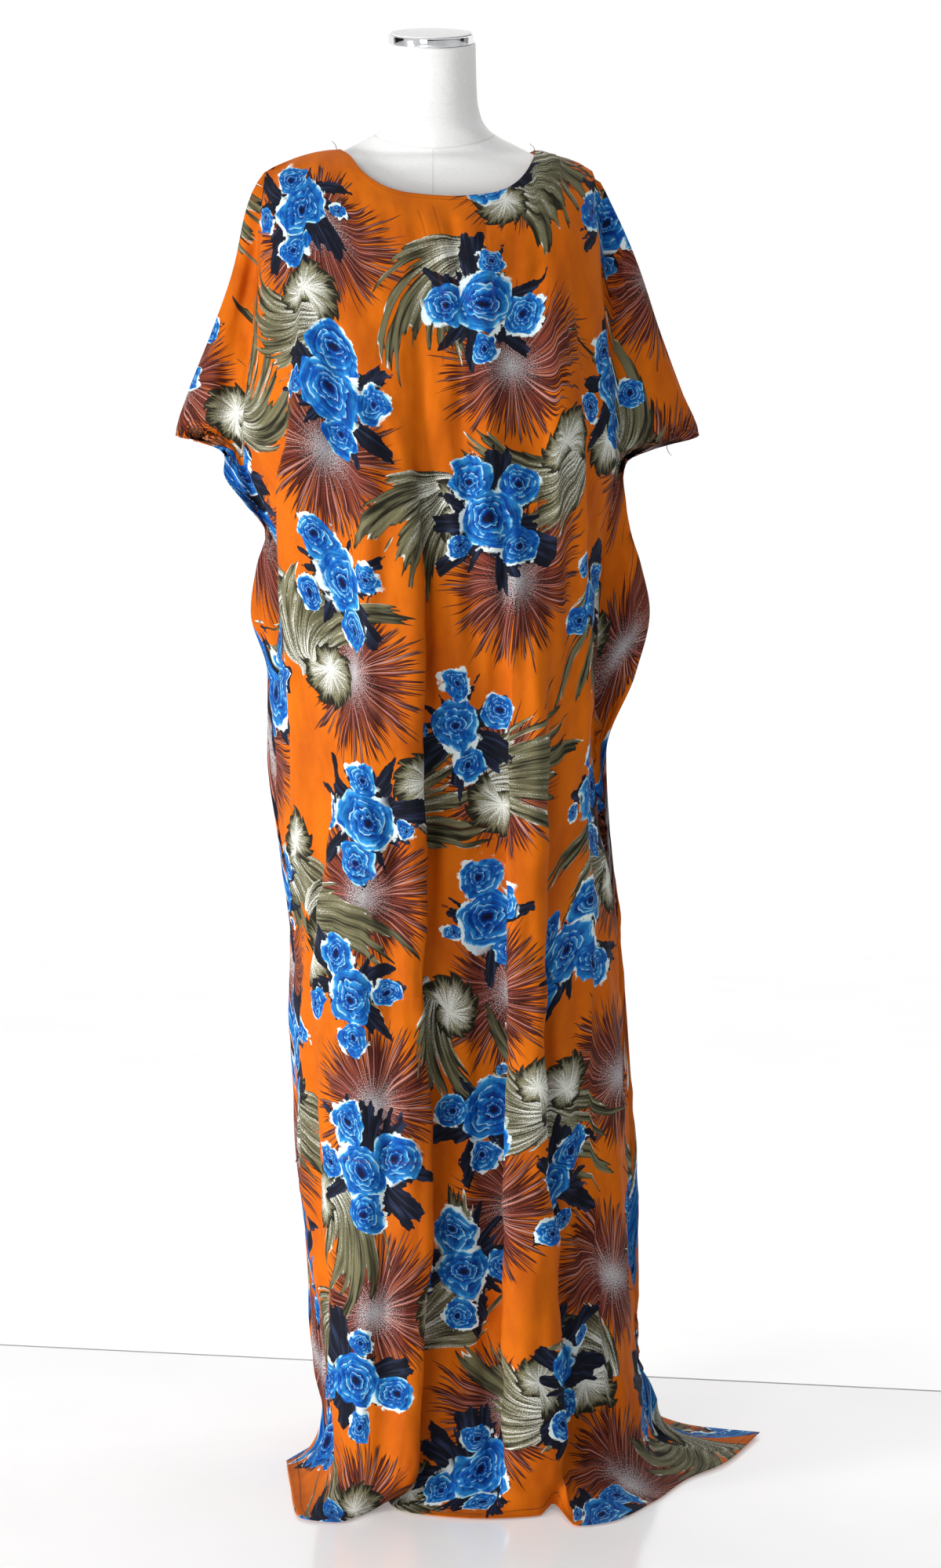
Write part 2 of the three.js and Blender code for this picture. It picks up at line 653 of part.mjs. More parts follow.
function stand() {
  const group = new THREE.Group();
  const base = named('stand_base', disc(BASE_RADIUS, BASE_HEIGHT, BASE_EDGE), MATERIALS.steel);
  const length = TORSO[0].z - BASE_HEIGHT - 2 * SEAT;
  const pole = named('stand_pole', disc(POLE_RADIUS, length, 0.5), MATERIALS.steel);
  pole.position.z = BASE_HEIGHT + SEAT;
  group.add(base, pole);
  return group;
}

const part = new THREE.Group();
part.add(named('front_panel', wall(panelGrid(FRONT_PANEL), FRONT_PANEL.facing), MATERIALS.cloth));
part.add(named('back_panel', wall(panelGrid(BACK_PANEL), BACK_PANEL.facing), MATERIALS.clothBack));
part.add(named('form_torso', torso(), MATERIALS.formCloth));
part.add(neckCap(), stand());

export default part;
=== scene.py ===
# %% [markdown]
# # A bati dress on a dress form
# A bati is a floor-length dress cut from two widths of light printed cotton. This lesson dresses a
# plain frame of solids: the cloth, its print, the form's linen neck and the chromed cap. Every
# length is in metres unless a name says millimetres, +Z is up and the dress faces -Y.

# %% Load the frame and keep its box
import math

import bmesh
import bpy
import numpy as np
from mathutils import Matrix, Vector, noise


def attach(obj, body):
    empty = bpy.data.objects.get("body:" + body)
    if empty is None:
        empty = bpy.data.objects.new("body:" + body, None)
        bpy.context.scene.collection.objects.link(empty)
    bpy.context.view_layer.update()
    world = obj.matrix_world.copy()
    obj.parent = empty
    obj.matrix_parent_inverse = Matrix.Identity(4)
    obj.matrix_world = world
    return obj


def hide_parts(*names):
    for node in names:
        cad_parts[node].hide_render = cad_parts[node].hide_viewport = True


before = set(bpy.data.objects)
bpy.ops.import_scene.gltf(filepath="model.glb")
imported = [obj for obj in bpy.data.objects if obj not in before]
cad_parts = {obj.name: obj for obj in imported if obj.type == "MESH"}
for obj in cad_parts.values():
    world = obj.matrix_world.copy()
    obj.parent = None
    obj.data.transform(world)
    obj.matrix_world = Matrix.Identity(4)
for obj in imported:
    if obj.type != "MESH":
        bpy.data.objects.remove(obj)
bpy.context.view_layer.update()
print("nodes:", ", ".join(sorted(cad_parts)))

# %% [markdown]
# ## The camera
# A fashion photographer stands a few metres back with a short telephoto lens, at about chest height,
# and tips the camera down a little so that neck and hem both fit. A long lens keeps the hem from
# looking much larger than the shoulders. The camera comes first, because everything is judged by it.

# %% Place the camera
MM = 0.001
CAMERA_PLACE = Vector((0.043, -4.5, 1.3))
CAMERA_TIP = math.radians(5.84)
LENS_MM = 85.3

camera = bpy.data.objects.new("camera", bpy.data.cameras.new("camera"))
bpy.context.scene.collection.objects.link(camera)
camera.location = CAMERA_PLACE
camera.rotation_euler = (math.pi / 2 - CAMERA_TIP, 0, 0)
camera.data.sensor_width = 36
camera.data.lens = LENS_MM
bpy.context.scene.camera = camera
print("camera", round(CAMERA_PLACE.length, 2), "m from the origin, lens", LENS_MM, "mm")

# %% [markdown]
# ## The cut and the fall of the cloth
# Hanging cloth could be simulated, but a simulation chooses its own folds. Here each level section
# of the dress is worked out from short tables instead: the outline from the front, the depth before
# and behind the seams, and the lines where a fold steps forward or back. They are the same tables
# that the solids come from, in millimetres.

# %% Tables of the outline and the depth, in millimetres
def table(names, *values):
    """A table: one dictionary for each row, with the names as its keys."""
    return [dict(zip(names.split(), row)) for row in values]


OUTLINE = table(
    "z left right",
    (1607, 60, 60), (1604, 116, 116), (1594, 163, 150), (1576, 204, 190), (1538, 224, 212),
    (1464, 241, 245), (1389, 267, 270), (1314, 297, 298), (1262, 312, 318), (1252, 268, 285),
    (1243, 251, 240), (1220, 253, 226), (1182, 229, 230), (1145, 204, 237), (1107, 215, 249),
    (1050, 223, 260), (974, 203, 243), (878, 204, 208), (763, 190, 214), (608, 174, 230), (433, 174, 242),
    (237, 156, 250), (158, 153, 248), (118, 151, 252), (98, 148, 264), (74, 140, 274),
)
BODY = table(
    "z left right",
    (1576, 204, 190), (1538, 208, 196), (1450, 214, 205), (1335, 225, 214), (1240, 232, 221),
    (1190, 216, 214), (1145, 194, 206), (1050, 187, 199), (930, 190, 200), (840, 190, 200), (763, 184, 207),
    (608, 168, 222), (433, 168, 234), (237, 150, 242), (74, 136, 258),
)
DEPTH = table(
    "z front back wing",
    (1607, 88, 74, 6), (1550, 96, 82, 12), (1450, 124, 96, 18), (1350, 136, 98, 24), (1240, 134, 98, 30),
    (1050, 134, 122, 22), (900, 140, 144, 18), (600, 152, 164, 20), (300, 172, 184, 24), (74, 190, 206, 28),
)
SLEEVE_OPENING = table(
    "z share",
    (1262, 0), (1254, 0.6), (1236, 1), (1182, 0.7), (1152, 0.15), (1142, 0),
)
print("the neck point is", OUTLINE[1]["z"], "mm up, the sleeve tips", OUTLINE[8]["z"], "mm")

# %% Tables of the fold lines and how far each steps forward or back
FRONT_LINES = table(
    "z recess left_pleat centre narrow_l narrow_r side",
    (1600, -150, -96, -40, 50, 98, 148), (1300, -166, -94, -18, 84, 128, 172),
    (1180, -178, -95, -17, 86, 128, 179), (1060, -180, -97, -17, 87, 127, 187),
    (860, -172, -116, -17, 87, 126, 190), (600, -160, -138, -14, 87, 126, 188),
    (400, -157, -136, -10, 88, 129, 190), (240, -142, -122, -14, 88, 144, 196),
    (74, -130, -112, -22, 89, 152, 208),
)
FRONT_STEPS = table(
    "z recess left_pleat centre narrow_l narrow_r side",
    (1420, 0, 0, 0, 0, 0, 0), (1300, 22, 3, -7, 0, 0, -10), (1200, 52, 9, -17, 5, -4, -30),
    (1050, 34, 18, -34, 16, -10, -36), (860, 16, 28, -50, 34, -22, -24), (600, 10, 38, -60, 50, -38, -8),
    (300, 10, 44, -66, 58, -52, 22), (74, 10, 44, -62, 54, -50, 26),
)
BACK_LINES = table(
    "z outer_l inner_l middle inner_r outer_r",
    (1600, -150, -80, -10, 66, 140), (1300, -170, -96, -14, 70, 166), (1000, -160, -92, -8, 84, 168),
    (600, -140, -84, 8, 100, 180), (74, -112, -58, 26, 118, 206),
)
BACK_STEPS = table(
    "z outer_l inner_l middle inner_r outer_r",
    (1420, 0, 0, 0, 0, 0), (1250, -14, 0, 4, -4, 12), (1000, -26, 12, -14, 16, 18),
    (600, -22, 36, -40, 38, -30), (74, -18, 46, -50, 48, -44),
)
print("front folds:", ", ".join(name for name in FRONT_LINES[0] if name != "z"))

# %% Tables of the hem on the floor, seen from above
FRONT_HEM = table(
    "share x y z",
    (0, -184, -28, 3), (0.1, -174, -130, 2), (0.18, -158, -256, 2), (0.24, -114, -276, 2),
    (0.3, -84, -242, 2), (0.36, -62, -184, 5), (0.41, -44, -226, 2), (0.47, -12, -246, 2),
    (0.58, 62, -262, 2), (0.64, 124, -250, 2), (0.665, 140, -214, 6), (0.7, 166, -290, 2),
    (0.75, 204, -276, 2), (0.83, 264, -188, 2), (0.89, 306, -100, 2), (0.94, 356, -34, 3), (1, 409, 96, 4),
)
BACK_HEM = table(
    "share x y z",
    (0, -184, -28, 3), (0.09, -150, 60, 3), (0.2, -134, 170, 2), (0.32, -84, 252, 2), (0.42, -22, 236, 5),
    (0.52, 52, 272, 2), (0.62, 118, 250, 5), (0.72, 196, 268, 2), (0.84, 268, 206, 2), (0.93, 320, 132, 4),
    (1, 409, 96, 4),
)
print("the front hem runs out to", -min(row["y"] for row in FRONT_HEM), "mm before the pole")

# %% [markdown]
# A smooth line through a table's rows must not overshoot them, or a straight hem would gain waves.
# Slopes that are the harmonic mean of their neighbours keep to the rows. The helper works on whole
# arrays, because numpy does a hundred thousand cloth points in less time than Python does one loop.

# %% A smooth line through a table
def at(rows, key, where, by="z"):
    line = sorted(rows, key=lambda row: row[by])
    x = np.array([row[by] for row in line], float)
    y = np.array([row[key] for row in line], float)
    slopes = np.diff(y) / np.diff(x)
    before, after = slopes[:-1], slopes[1:]
    total = np.where(before * after > 0, before + after, 1)
    inner = np.where(before * after > 0, 2 * before * after / total, 0)
    tangents = np.concatenate(([slopes[0]], inner, [slopes[-1]]))
    place = np.clip(where, x[0], x[-1])
    i = np.clip(np.searchsorted(x, place, side="right") - 1, 0, len(x) - 2)
    span = x[i + 1] - x[i]
    t = (place - x[i]) / span
    bend = (1 - t) * tangents[i] * span - t * tangents[i + 1] * span
    turn = (y[i + 1] - y[i]) * (1 - 2 * t)
    return y[i] + (y[i + 1] - y[i]) * t + t * (1 - t) * (bend - turn)


def by_side(rows, x, z):
    return np.where(x < 0, at(rows, "left", z), at(rows, "right", z))


print("the right side at 1 m is", round(float(at(OUTLINE, "right", 1000))), "mm from the pole")

# %% [markdown]
# ## Level sections
# On the body the cloth follows a squared ellipse that rounds off over the shoulders. In the sleeves
# and the wings below them it is two nearly flat layers. Each fold line then steps the section in or
# out, and a deep step also rolls over the valley beside it, which is what draws the dark line
# along a real pleat.

# %% How far the cloth stands before the seams
FRONT_NECK = table(
    "x z",
    (-116, 1604), (-101, 1594), (-87, 1576), (-72, 1563), (-53, 1553), (-30, 1547), (22, 1543), (64, 1546),
    (84, 1552), (98, 1561), (110, 1575), (118, 1592), (122, 1603),
)
BACK_NECK = table(
    "x z",
    (-116, 1604), (-96, 1595), (-66, 1588), (4, 1585), (72, 1588), (102, 1595), (122, 1603),
)
SHOULDER_TIP_Z, SLEEVE_TIP_Z, RIDGE_TOP_Z = 1576, 1262, 1607
SHOULDER_ROUND, LIFT_Z = 112, 74
SEAM_GAP = 0.8
BODY_SQUARENESS, WING_SQUARENESS, BLEND_POWER = 2.6, 6, 3
FOLD_FADE = 26

ridge_heights = np.linspace(SLEEVE_TIP_Z, RIDGE_TOP_Z, 400)[::-1]
ridge_left = at(OUTLINE, "left", ridge_heights)
ridge_right = at(OUTLINE, "right", ridge_heights)


def ridge_z(x):
    left = np.interp(np.abs(x), ridge_left, ridge_heights)
    right = np.interp(np.abs(x), ridge_right, ridge_heights)
    return np.where(x < 0, left, right)


def squircle(share, power):
    return (1 - np.clip(share, 0, 1) ** power) ** (1 / power)


def body_edge(x, z):
    return np.minimum(by_side(BODY, x, np.minimum(z, SHOULDER_TIP_Z)), by_side(OUTLINE, x, z))


def stand_off(depth, x, z):
    drop = np.clip((ridge_z(x) - z) / SHOULDER_ROUND, 0, 1)
    rounding = np.sqrt(1 - (1 - drop) ** 2)
    on_body = at(DEPTH, depth, z) * rounding * squircle(np.abs(x) / body_edge(x, z), BODY_SQUARENESS)
    to_edge = np.clip(np.abs(x) / by_side(OUTLINE, x, z), 0, 1)
    closing = to_edge ** WING_SQUARENESS * (1 - at(SLEEVE_OPENING, "share", z))
    in_wing = at(DEPTH, "wing", z) * np.sqrt(1 - closing) * np.minimum(1, rounding * 1.6)
    return (on_body**BLEND_POWER + in_wing**BLEND_POWER) ** (1 / BLEND_POWER)


chest = stand_off("front", np.array(0.0), np.array(1350.0))
print("the chest stands", round(float(chest)), "mm before the seams")

# %% [markdown]
# A few softer forms are only in the visible cloth: shallow swells between the big folds, and the
# creases of cloth that lay folded in a shop. Each swell is a row with its own line down the panel.

# %% Softer swells between the folds, in millimetres
FRONT_SWELLS = table(
    "top bottom x_top x_bottom width out",
    (1500, 60, -72, -92, 20, 11), (1440, 960, -112, -118, 15, -12), (1560, 1010, 30, 44, 13, -6),
    (1500, 700, -20, -2, 15, -9), (1500, 900, 58, 68, 16, 9), (1450, 800, 104, 112, 17, -8),
    (1450, 1000, 140, 156, 14, 9), (1240, 700, 20, 34, 16, 9), (1020, 60, -46, -58, 13, -9),
    (860, 60, 30, 42, 13, 8), (820, 60, 164, 178, 12, -10), (700, 60, 208, 232, 10, 8),
    (1000, 300, -140, -128, 12, -8), (1420, 1240, -250, -276, 12, 9), (1460, 1250, 246, 268, 12, 8),
    (1360, 1200, -226, -238, 7, 10), (1540, 1430, 204, 213, 9, -13), (1500, 1400, 236, 222, 8, 9),
    (1500, 1380, -214, -236, 9, -9), (1262, 1186, -262, -228, 15, 16), (1190, 1120, -214, -196, 10, -12),
    (1130, 1010, 214, 226, 11, -9), (1130, 1000, 238, 244, 8, 8),
)
BACK_SWELLS = table(
    "top bottom x_top x_bottom width out",
    (1540, 1000, -40, -52, 18, 6), (1500, 800, 40, 30, 20, -6), (1380, 900, 110, 128, 16, 7),
    (900, 60, -110, -92, 14, 8), (860, 60, 60, 76, 16, 7), (700, 60, 150, 166, 12, -8),
)
RUNS_TO_HEM_Z = 60


def swell_height(swells, x, z):
    total = np.zeros_like(x)
    for swell in swells:
        along = np.clip((swell["top"] - z) / (swell["top"] - swell["bottom"]), 0, 1)
        middle = swell["x_top"] + (swell["x_bottom"] - swell["x_top"]) * along
        strength = np.sin(np.pi * along) ** 0.7
        strength = np.where(swell["bottom"] <= RUNS_TO_HEM_Z, np.minimum(1, along * 3) ** 1.2, strength)
        total += swell["out"] * strength * np.exp(-(((x - middle) / swell["width"]) ** 2))
    return total


print(len(FRONT_SWELLS), "swells on the front,", len(BACK_SWELLS), "on the back")

# %% The two panels and a section's points at every level
STEP_MIN_REACH, STEP_REACH_SHARE = 6, 0.24
ROLL_FROM_HEIGHT, ROLL_SHARE = 14, 0.34
LEVELS = np.linspace(LIFT_Z, RIDGE_TOP_Z, 520)
SAMPLES, END_CROWDING = 720, 0.6

FRONT = {
    "name": "dress_front", "facing": -1, "depth": "front", "neck": FRONT_NECK, "hem": FRONT_HEM,
    "lines": FRONT_LINES, "steps": FRONT_STEPS, "swells": FRONT_SWELLS,
    "columns": 226, "rows": 176, "run_out": 26, "cut_from": 0.0,
}
BACK = {
    "name": "dress_back", "facing": 1, "depth": "back", "neck": BACK_NECK, "hem": BACK_HEM,
    "lines": BACK_LINES, "steps": BACK_STEPS, "swells": BACK_SWELLS,
    "columns": 190, "rows": 150, "run_out": 22, "cut_from": 1.63,
}


def smooth(t):
    s = np.clip(t, 0, 1)
    return s * s * (3 - 2 * s)


def section_levels(panel):
    """Points across the panel at every level, the run along them and the run at each stop."""
    z = LEVELS[:, None] + np.zeros((1, SAMPLES))
    left = -at(OUTLINE, "left", LEVELS)[:, None]
    right = at(OUTLINE, "right", LEVELS)[:, None]
    t = np.linspace(0, 1, SAMPLES)[None, :]
    x = left + (right - left) * (t - END_CROWDING * np.sin(2 * np.pi * t) / (2 * np.pi))
    fade = smooth((by_side(OUTLINE, x, z) - np.abs(x)) / FOLD_FADE)
    out = stand_off(panel["depth"], x, z)
    shift = np.zeros_like(x)
    level = swell_height(panel["swells"], x, z)
    names = [name for name in panel["lines"][0] if name != "z"]
    for name in names:
        height = at(panel["steps"], name, z)
        reach = STEP_MIN_REACH + STEP_REACH_SHARE * np.abs(height)
        s = np.clip((x - at(panel["lines"], name, z)) / reach, -1, 1)
        level += height * (smooth((s + 1) / 2) - 0.5)
        shift -= np.maximum(0, np.abs(height) - ROLL_FROM_HEIGHT) * ROLL_SHARE * np.sin(np.pi * s)
    y = panel["facing"] * (SEAM_GAP / 2 + np.maximum(out + level * fade, 0))
    run = np.zeros_like(x)
    run[:, 1:] = np.cumsum(np.hypot(np.diff(x + shift, axis=1), np.diff(y, axis=1)), axis=1)
    inner = [at(panel["lines"], name, LEVELS) for name in names]
    ones = np.ones_like(LEVELS)
    stops = [left[:, 0], -body_edge(-ones, LEVELS), *inner, body_edge(ones, LEVELS), right[:, 0]]
    stop_runs = np.array([[np.interp(stop[k], x[k], run[k]) for stop in stops] for k in range(len(LEVELS))])
    return {"x": x + shift, "y": y, "run": run, "stops": stop_runs}


FRONT["sections"] = section_levels(FRONT)
BACK["sections"] = section_levels(BACK)
middle_level = len(LEVELS) // 3
for panel in (FRONT, BACK):
    run_there = panel["sections"]["run"][middle_level, -1]
    print(panel["name"], "is", round(run_there), "mm along its section at a third")

# %% [markdown]
# ## From sections to columns
# A column of the grid keeps its share of the stretch between two fold lines all the way down, so no
# fold has to jump from column to column. At the top each column ends on the cut edge, which is the
# scooped neck, the shoulder seam or the sleeve's top. On the floor it bends outwards to the hem.

# %% Columns, their tops and their run down the panel
FEWEST_OUTER, FEWEST_INNER = 26, 12
COLUMN_SHARE, SHARED_OUT_AT_Z = 0.86, 500


def make_columns(panel):
    stops = panel["sections"]["stops"][np.searchsorted(LEVELS, SHARED_OUT_AT_Z)]
    lengths = np.diff(stops)
    columns = []
    for stretch, length in enumerate(lengths):
        fewest = FEWEST_OUTER if stretch in (0, len(lengths) - 1) else FEWEST_INNER
        count = max(fewest, round(length / lengths.sum() * panel["columns"] * COLUMN_SHARE))
        first = 0 if stretch == 0 else 1
        columns += [(stretch, i / count) for i in range(first, count + 1)]
    return np.array(columns)


def sleeve_share(z):
    return np.clip((SHOULDER_TIP_Z - z) / (SHOULDER_TIP_Z - SLEEVE_TIP_Z), 0.001, 1)


def column_tracks(panel, columns):
    """Where every column is at every level, and how far along the section."""
    sections = panel["sections"]
    stretch, share = columns[:, 0].astype(int), columns[:, 1]
    last = sections["stops"].shape[1] - 2
    tracks = np.zeros((3, len(LEVELS), len(columns)))
    for k, z in enumerate(LEVELS):
        grown = sleeve_share(z)
        placed = np.where(stretch == 0, 1 - np.minimum(1, (1 - share) / grown), share)
        placed = np.where(stretch == last, np.minimum(1, share / grown), placed)
        stops = sections["stops"][k]
        run = stops[stretch] + (stops[stretch + 1] - stops[stretch]) * placed
        tracks[0, k] = np.interp(run, sections["run"][k], sections["x"][k])
        tracks[1, k] = np.interp(run, sections["run"][k], sections["y"][k])
        tracks[2, k] = run - np.interp(0, sections["x"][k], sections["run"][k])
    return tracks


def cut_edge_z(panel, x):
    left, right = panel["neck"][0]["x"], panel["neck"][-1]["x"]
    in_neck = np.minimum(at(panel["neck"], "z", x, "x"), ridge_z(x))
    return np.where((x > left) & (x < right), in_neck, ridge_z(x))


def column_tops(panel, columns, tracks):
    stretch, share = columns[:, 0].astype(int), columns[:, 1]
    last = panel["sections"]["stops"].shape[1] - 2
    sleeve = SHOULDER_TIP_Z - SLEEVE_TIP_Z
    tops = np.where(stretch == 0, SHOULDER_TIP_Z - (1 - share) * sleeve, SHOULDER_TIP_Z - share * sleeve)
    over = LEVELS[:, None] - cut_edge_z(panel, tracks[0])
    for c in np.nonzero((stretch > 0) & (stretch < last))[0]:
        k = np.nonzero(over[:, c] <= 0)[0][-1]
        k = min(k, len(LEVELS) - 2)
        t = -over[k, c] / (over[k + 1, c] - over[k, c])
        tops[c] = LEVELS[k] + np.clip(t, 0, 1) * (LEVELS[k + 1] - LEVELS[k])
    return tops


for panel in (FRONT, BACK):
    panel["grid_columns"] = make_columns(panel)
    panel["tracks"] = column_tracks(panel, panel["grid_columns"])
    panel["tops"] = column_tops(panel, panel["grid_columns"], panel["tracks"])
    print(panel["name"], len(panel["grid_columns"]), "columns, tops from", round(panel["tops"].min()), "mm")

# %% The grid of points, bent out on the floor
ROW_CROWDING = 1.22
BEND_HEIGHT_SHARE, BEND_RUN_SHARE = 0.25, 0.45


def panel_points(panel):
    columns, tracks, tops = panel["grid_columns"], panel["tracks"], panel["tops"]
    shares = (np.arange(panel["rows"] + 1) / panel["rows"]) ** ROW_CROWDING
    z = tops[:, None] + (LIFT_Z - tops[:, None]) * shares[None, :]
    points = np.zeros((len(columns), panel["rows"] + 1 + panel["run_out"], 3))
    across = np.zeros(points.shape[:2])
    fallen = panel["rows"] + 1
    for c in range(len(columns)):
        points[c, :fallen, 0] = np.interp(z[c], LEVELS, tracks[0, :, c])
        points[c, :fallen, 1] = np.interp(z[c], LEVELS, tracks[1, :, c])
        across[c, :fallen] = np.interp(z[c], LEVELS, tracks[2, :, c])
    points[:, :fallen, 2] = z
    stops = panel["sections"]["stops"][0]
    stretch = columns[:, 0].astype(int)
    hem_share = (stops[stretch] + (stops[stretch + 1] - stops[stretch]) * columns[:, 1]) / stops[-1]
    hem = np.stack([at(panel["hem"], key, hem_share, "share") for key in "xyz"], axis=1)
    hem[:, 1] += panel["facing"] * SEAM_GAP / 2
    foot = points[:, fallen - 1]
    above = foot * [1, 1, 0] + [0, 0, LIFT_Z * BEND_HEIGHT_SHARE]
    before = hem + (foot - hem) * BEND_RUN_SHARE
    before[:, 2] = hem[:, 2]
    for i in range(1, panel["run_out"] + 1):
        t = i / panel["run_out"]
        a, b, c, d = (1 - t) ** 3, 3 * t * (1 - t) ** 2, 3 * t * t * (1 - t), t**3
        points[:, fallen - 1 + i] = a * foot + b * above + c * before + d * hem
        across[:, fallen - 1 + i] = across[:, fallen - 1]
    return points, across


for panel in (FRONT, BACK):
    panel["points"], panel["across"] = panel_points(panel)
    print(panel["name"], panel["points"].shape[0] * panel["points"].shape[1], "points")

# %% [markdown]
# ## Creases, wrinkles and hems
# Light cotton is never smooth. Old shop folds leave straight creases, the cloth ripples a little
# between its folds, and the doubled cloth of a hem stands out by its own thickness and puckers
# along the stitching. All of these are small moves along the surface's own normal.

# %% Creases placed one by one, in millimetres from the front
FRONT_CREASES = table(
    "x1 z1 x2 z2 width out",
    (-12, 790, 92, 786, 5, -3.4), (-140, 734, -46, 700, 6, -3.4), (-112, 936, -50, 722, 9, 4.5),
    (-20, 1240, 20, 1130, 9, -4), (-90, 1330, -40, 1230, 10, -4), (96, 1260, 60, 1160, 10, -4),
    (-150, 1420, -110, 1330, 10, -4), (150, 700, 190, 620, 10, -4), (130, 330, 186, 250, 12, 6),
    (-70, 210, -30, 130, 10, -5), (-150, 592, 80, 586, 6, 2.2), (-172, 392, -58, 398, 6, -2.6),
    (18, 1520, 34, 1400, 7, -3), (62, 1520, 36, 1400, 6, -2.6), (36, 1400, 40, 1250, 4, 2.4),
    (-128, 1210, -98, 1170, 7, 3), (-104, 1214, -88, 1160, 6, -3), (52, 1200, 78, 1130, 6, 2.6),
    (-210, 962, -150, 1000, 7, -7), (196, 978, 246, 960, 8, -7), (-130, 900, -106, 820, 6, 3),
    (140, 560, 170, 470, 9, 3), (-120, 1500, -60, 1440, 12, -3), (150, 1500, 110, 1420, 12, -3),
)
BACK_CREASES = table(
    "x1 z1 x2 z2 width out",
    (-120, 1180, 120, 1186, 6, -2.4), (-140, 790, 150, 784, 6, -2.4), (-140, 400, 160, 396, 6, 2.2),
    (6, 1500, 2, 1050, 5, -2.4),
)
HEM_WIDTH, SLEEVE_HEM_WIDTH, NECK_EDGE_WIDTH = 17, 9, 6
CUFF_LOW_Z, LOWEST_Z = 1146, 0.9
FRONT["creases"], BACK["creases"] = FRONT_CREASES, BACK_CREASES


def crease_height(creases, x, z):
    total = np.zeros_like(x)
    for crease in creases:
        dx, dz = crease["x2"] - crease["x1"], crease["z2"] - crease["z1"]
        length = math.hypot(dx, dz)
        along = ((x - crease["x1"]) * dx + (z - crease["z1"]) * dz) / length**2
        aside = ((x - crease["x1"]) * dz - (z - crease["z1"]) * dx) / length
        ends = smooth(np.minimum(along, 1 - along) * 5 + 0.5)
        total += crease["out"] * ends * np.exp(-((aside / crease["width"]) ** 2))
    return total


print(len(FRONT_CREASES), "creases on the front")

# %% [markdown]
# The cloth lies over the form without cutting into it, so the form's own table is needed before the
# small relief is added. A crease or a ripple may press the cloth in only as far as there is room.

# %% The torso's levels, in millimetres
TORSO = table(
    "z width front back square",
    (820, 150, 104, 92, 2.25), (828, 158, 110, 98, 2.25), (900, 166, 116, 106, 2.25),
    (1000, 158, 108, 98, 2.25), (1090, 136, 94, 78, 2.25), (1160, 126, 90, 70, 2.25),
    (1250, 136, 104, 76, 2.25), (1360, 156, 122, 84, 2.25), (1440, 172, 112, 86, 2.25),
    (1500, 184, 94, 78, 2.25), (1540, 190, 72, 66, 2.25), (1562, 186, 61, 54, 2.2), (1578, 168, 53, 46, 2),
    (1590, 136, 50, 42, 1.7), (1598, 116, 46, 40, 1.5), (1609, 94, 49, 44, 1.5), (1617, 78, 51, 47, 1.7),
    (1626, 65, 52, 48, 2), (1640, 56, 51, 48, 2.1), (1664, 51, 49, 48, 2.1), (1728, 49, 48, 48, 2.1),
)
CLEARANCE, FAR = 4, 999


def room_before_form(x, y, z):
    """How far a point of the cloth can move inwards before it meets the form."""
    width, square = at(TORSO, "width", z), at(TORSO, "square", z)
    depth = np.where(y < 0, at(TORSO, "front", z), at(TORSO, "back", z))
    room = np.abs(y) - depth * squircle(np.abs(x) / width, square) - CLEARANCE
    beside = (np.abs(x) > width) | (z < TORSO[0]["z"] - 30) | (z > SHOULDER_TIP_Z)
    return np.where(beside, FAR, room)


print("at 1 m the cloth has", round(float(room_before_form(0, 134, 1000))), "mm of room behind")

# %% Distances from the finished edges, and the small relief
def step_lengths(points, axis):
    return np.linalg.norm(np.diff(points, axis=axis), axis=2)


def edge_distances(panel):
    """How far each point lies from the hem, the neck's edge and the sleeve hems, along the cloth."""
    points = panel["points"]
    down = step_lengths(points, 1)
    from_top = np.concatenate((np.zeros((len(points), 1)), np.cumsum(down, axis=1)), axis=1)
    from_hem = from_top[:, -1:] - from_top
    top_x = points[:, :1, 0]
    in_neck = (top_x > panel["neck"][0]["x"] + 1) & (top_x < panel["neck"][-1]["x"] - 1)
    from_neck = np.where(in_neck, from_top, FAR)
    across = step_lengths(points, 0)
    from_left = np.concatenate((np.zeros((1, points.shape[1])), np.cumsum(across, axis=0)), axis=0)
    from_side = np.minimum(from_left, from_left[-1:] - from_left)
    z = points[:, :, 2]
    at_cuff = (z < SLEEVE_TIP_Z + 4) & (z > CUFF_LOW_Z)
    from_cuff = np.where(at_cuff, from_side, FAR)
    return from_top, from_hem, from_neck, from_cuff


def ripple(x, y, z):
    """Low uneven waves, longer down the cloth than across it."""
    out = np.empty(x.shape)
    for index in np.ndindex(x.shape):
        a, b, c = x[index], y[index], z[index]
        slow = noise.noise((a * 0.016, b * 0.016, c * 0.0042))
        quick = noise.noise((a * 0.045 + 7, b * 0.045, c * 0.017))
        fine = noise.noise((a * 0.11 + 3, b * 0.11, c * 0.07 + 5))
        out[index] = slow * 9 + quick * 4 + fine * 0.8
    return out


def surface_normals(points, facing):
    across = np.gradient(points, axis=0)
    down = np.gradient(points, axis=1)
    normals = np.cross(across, down) * facing
    return normals / np.maximum(np.linalg.norm(normals, axis=2, keepdims=True), 1e-9)


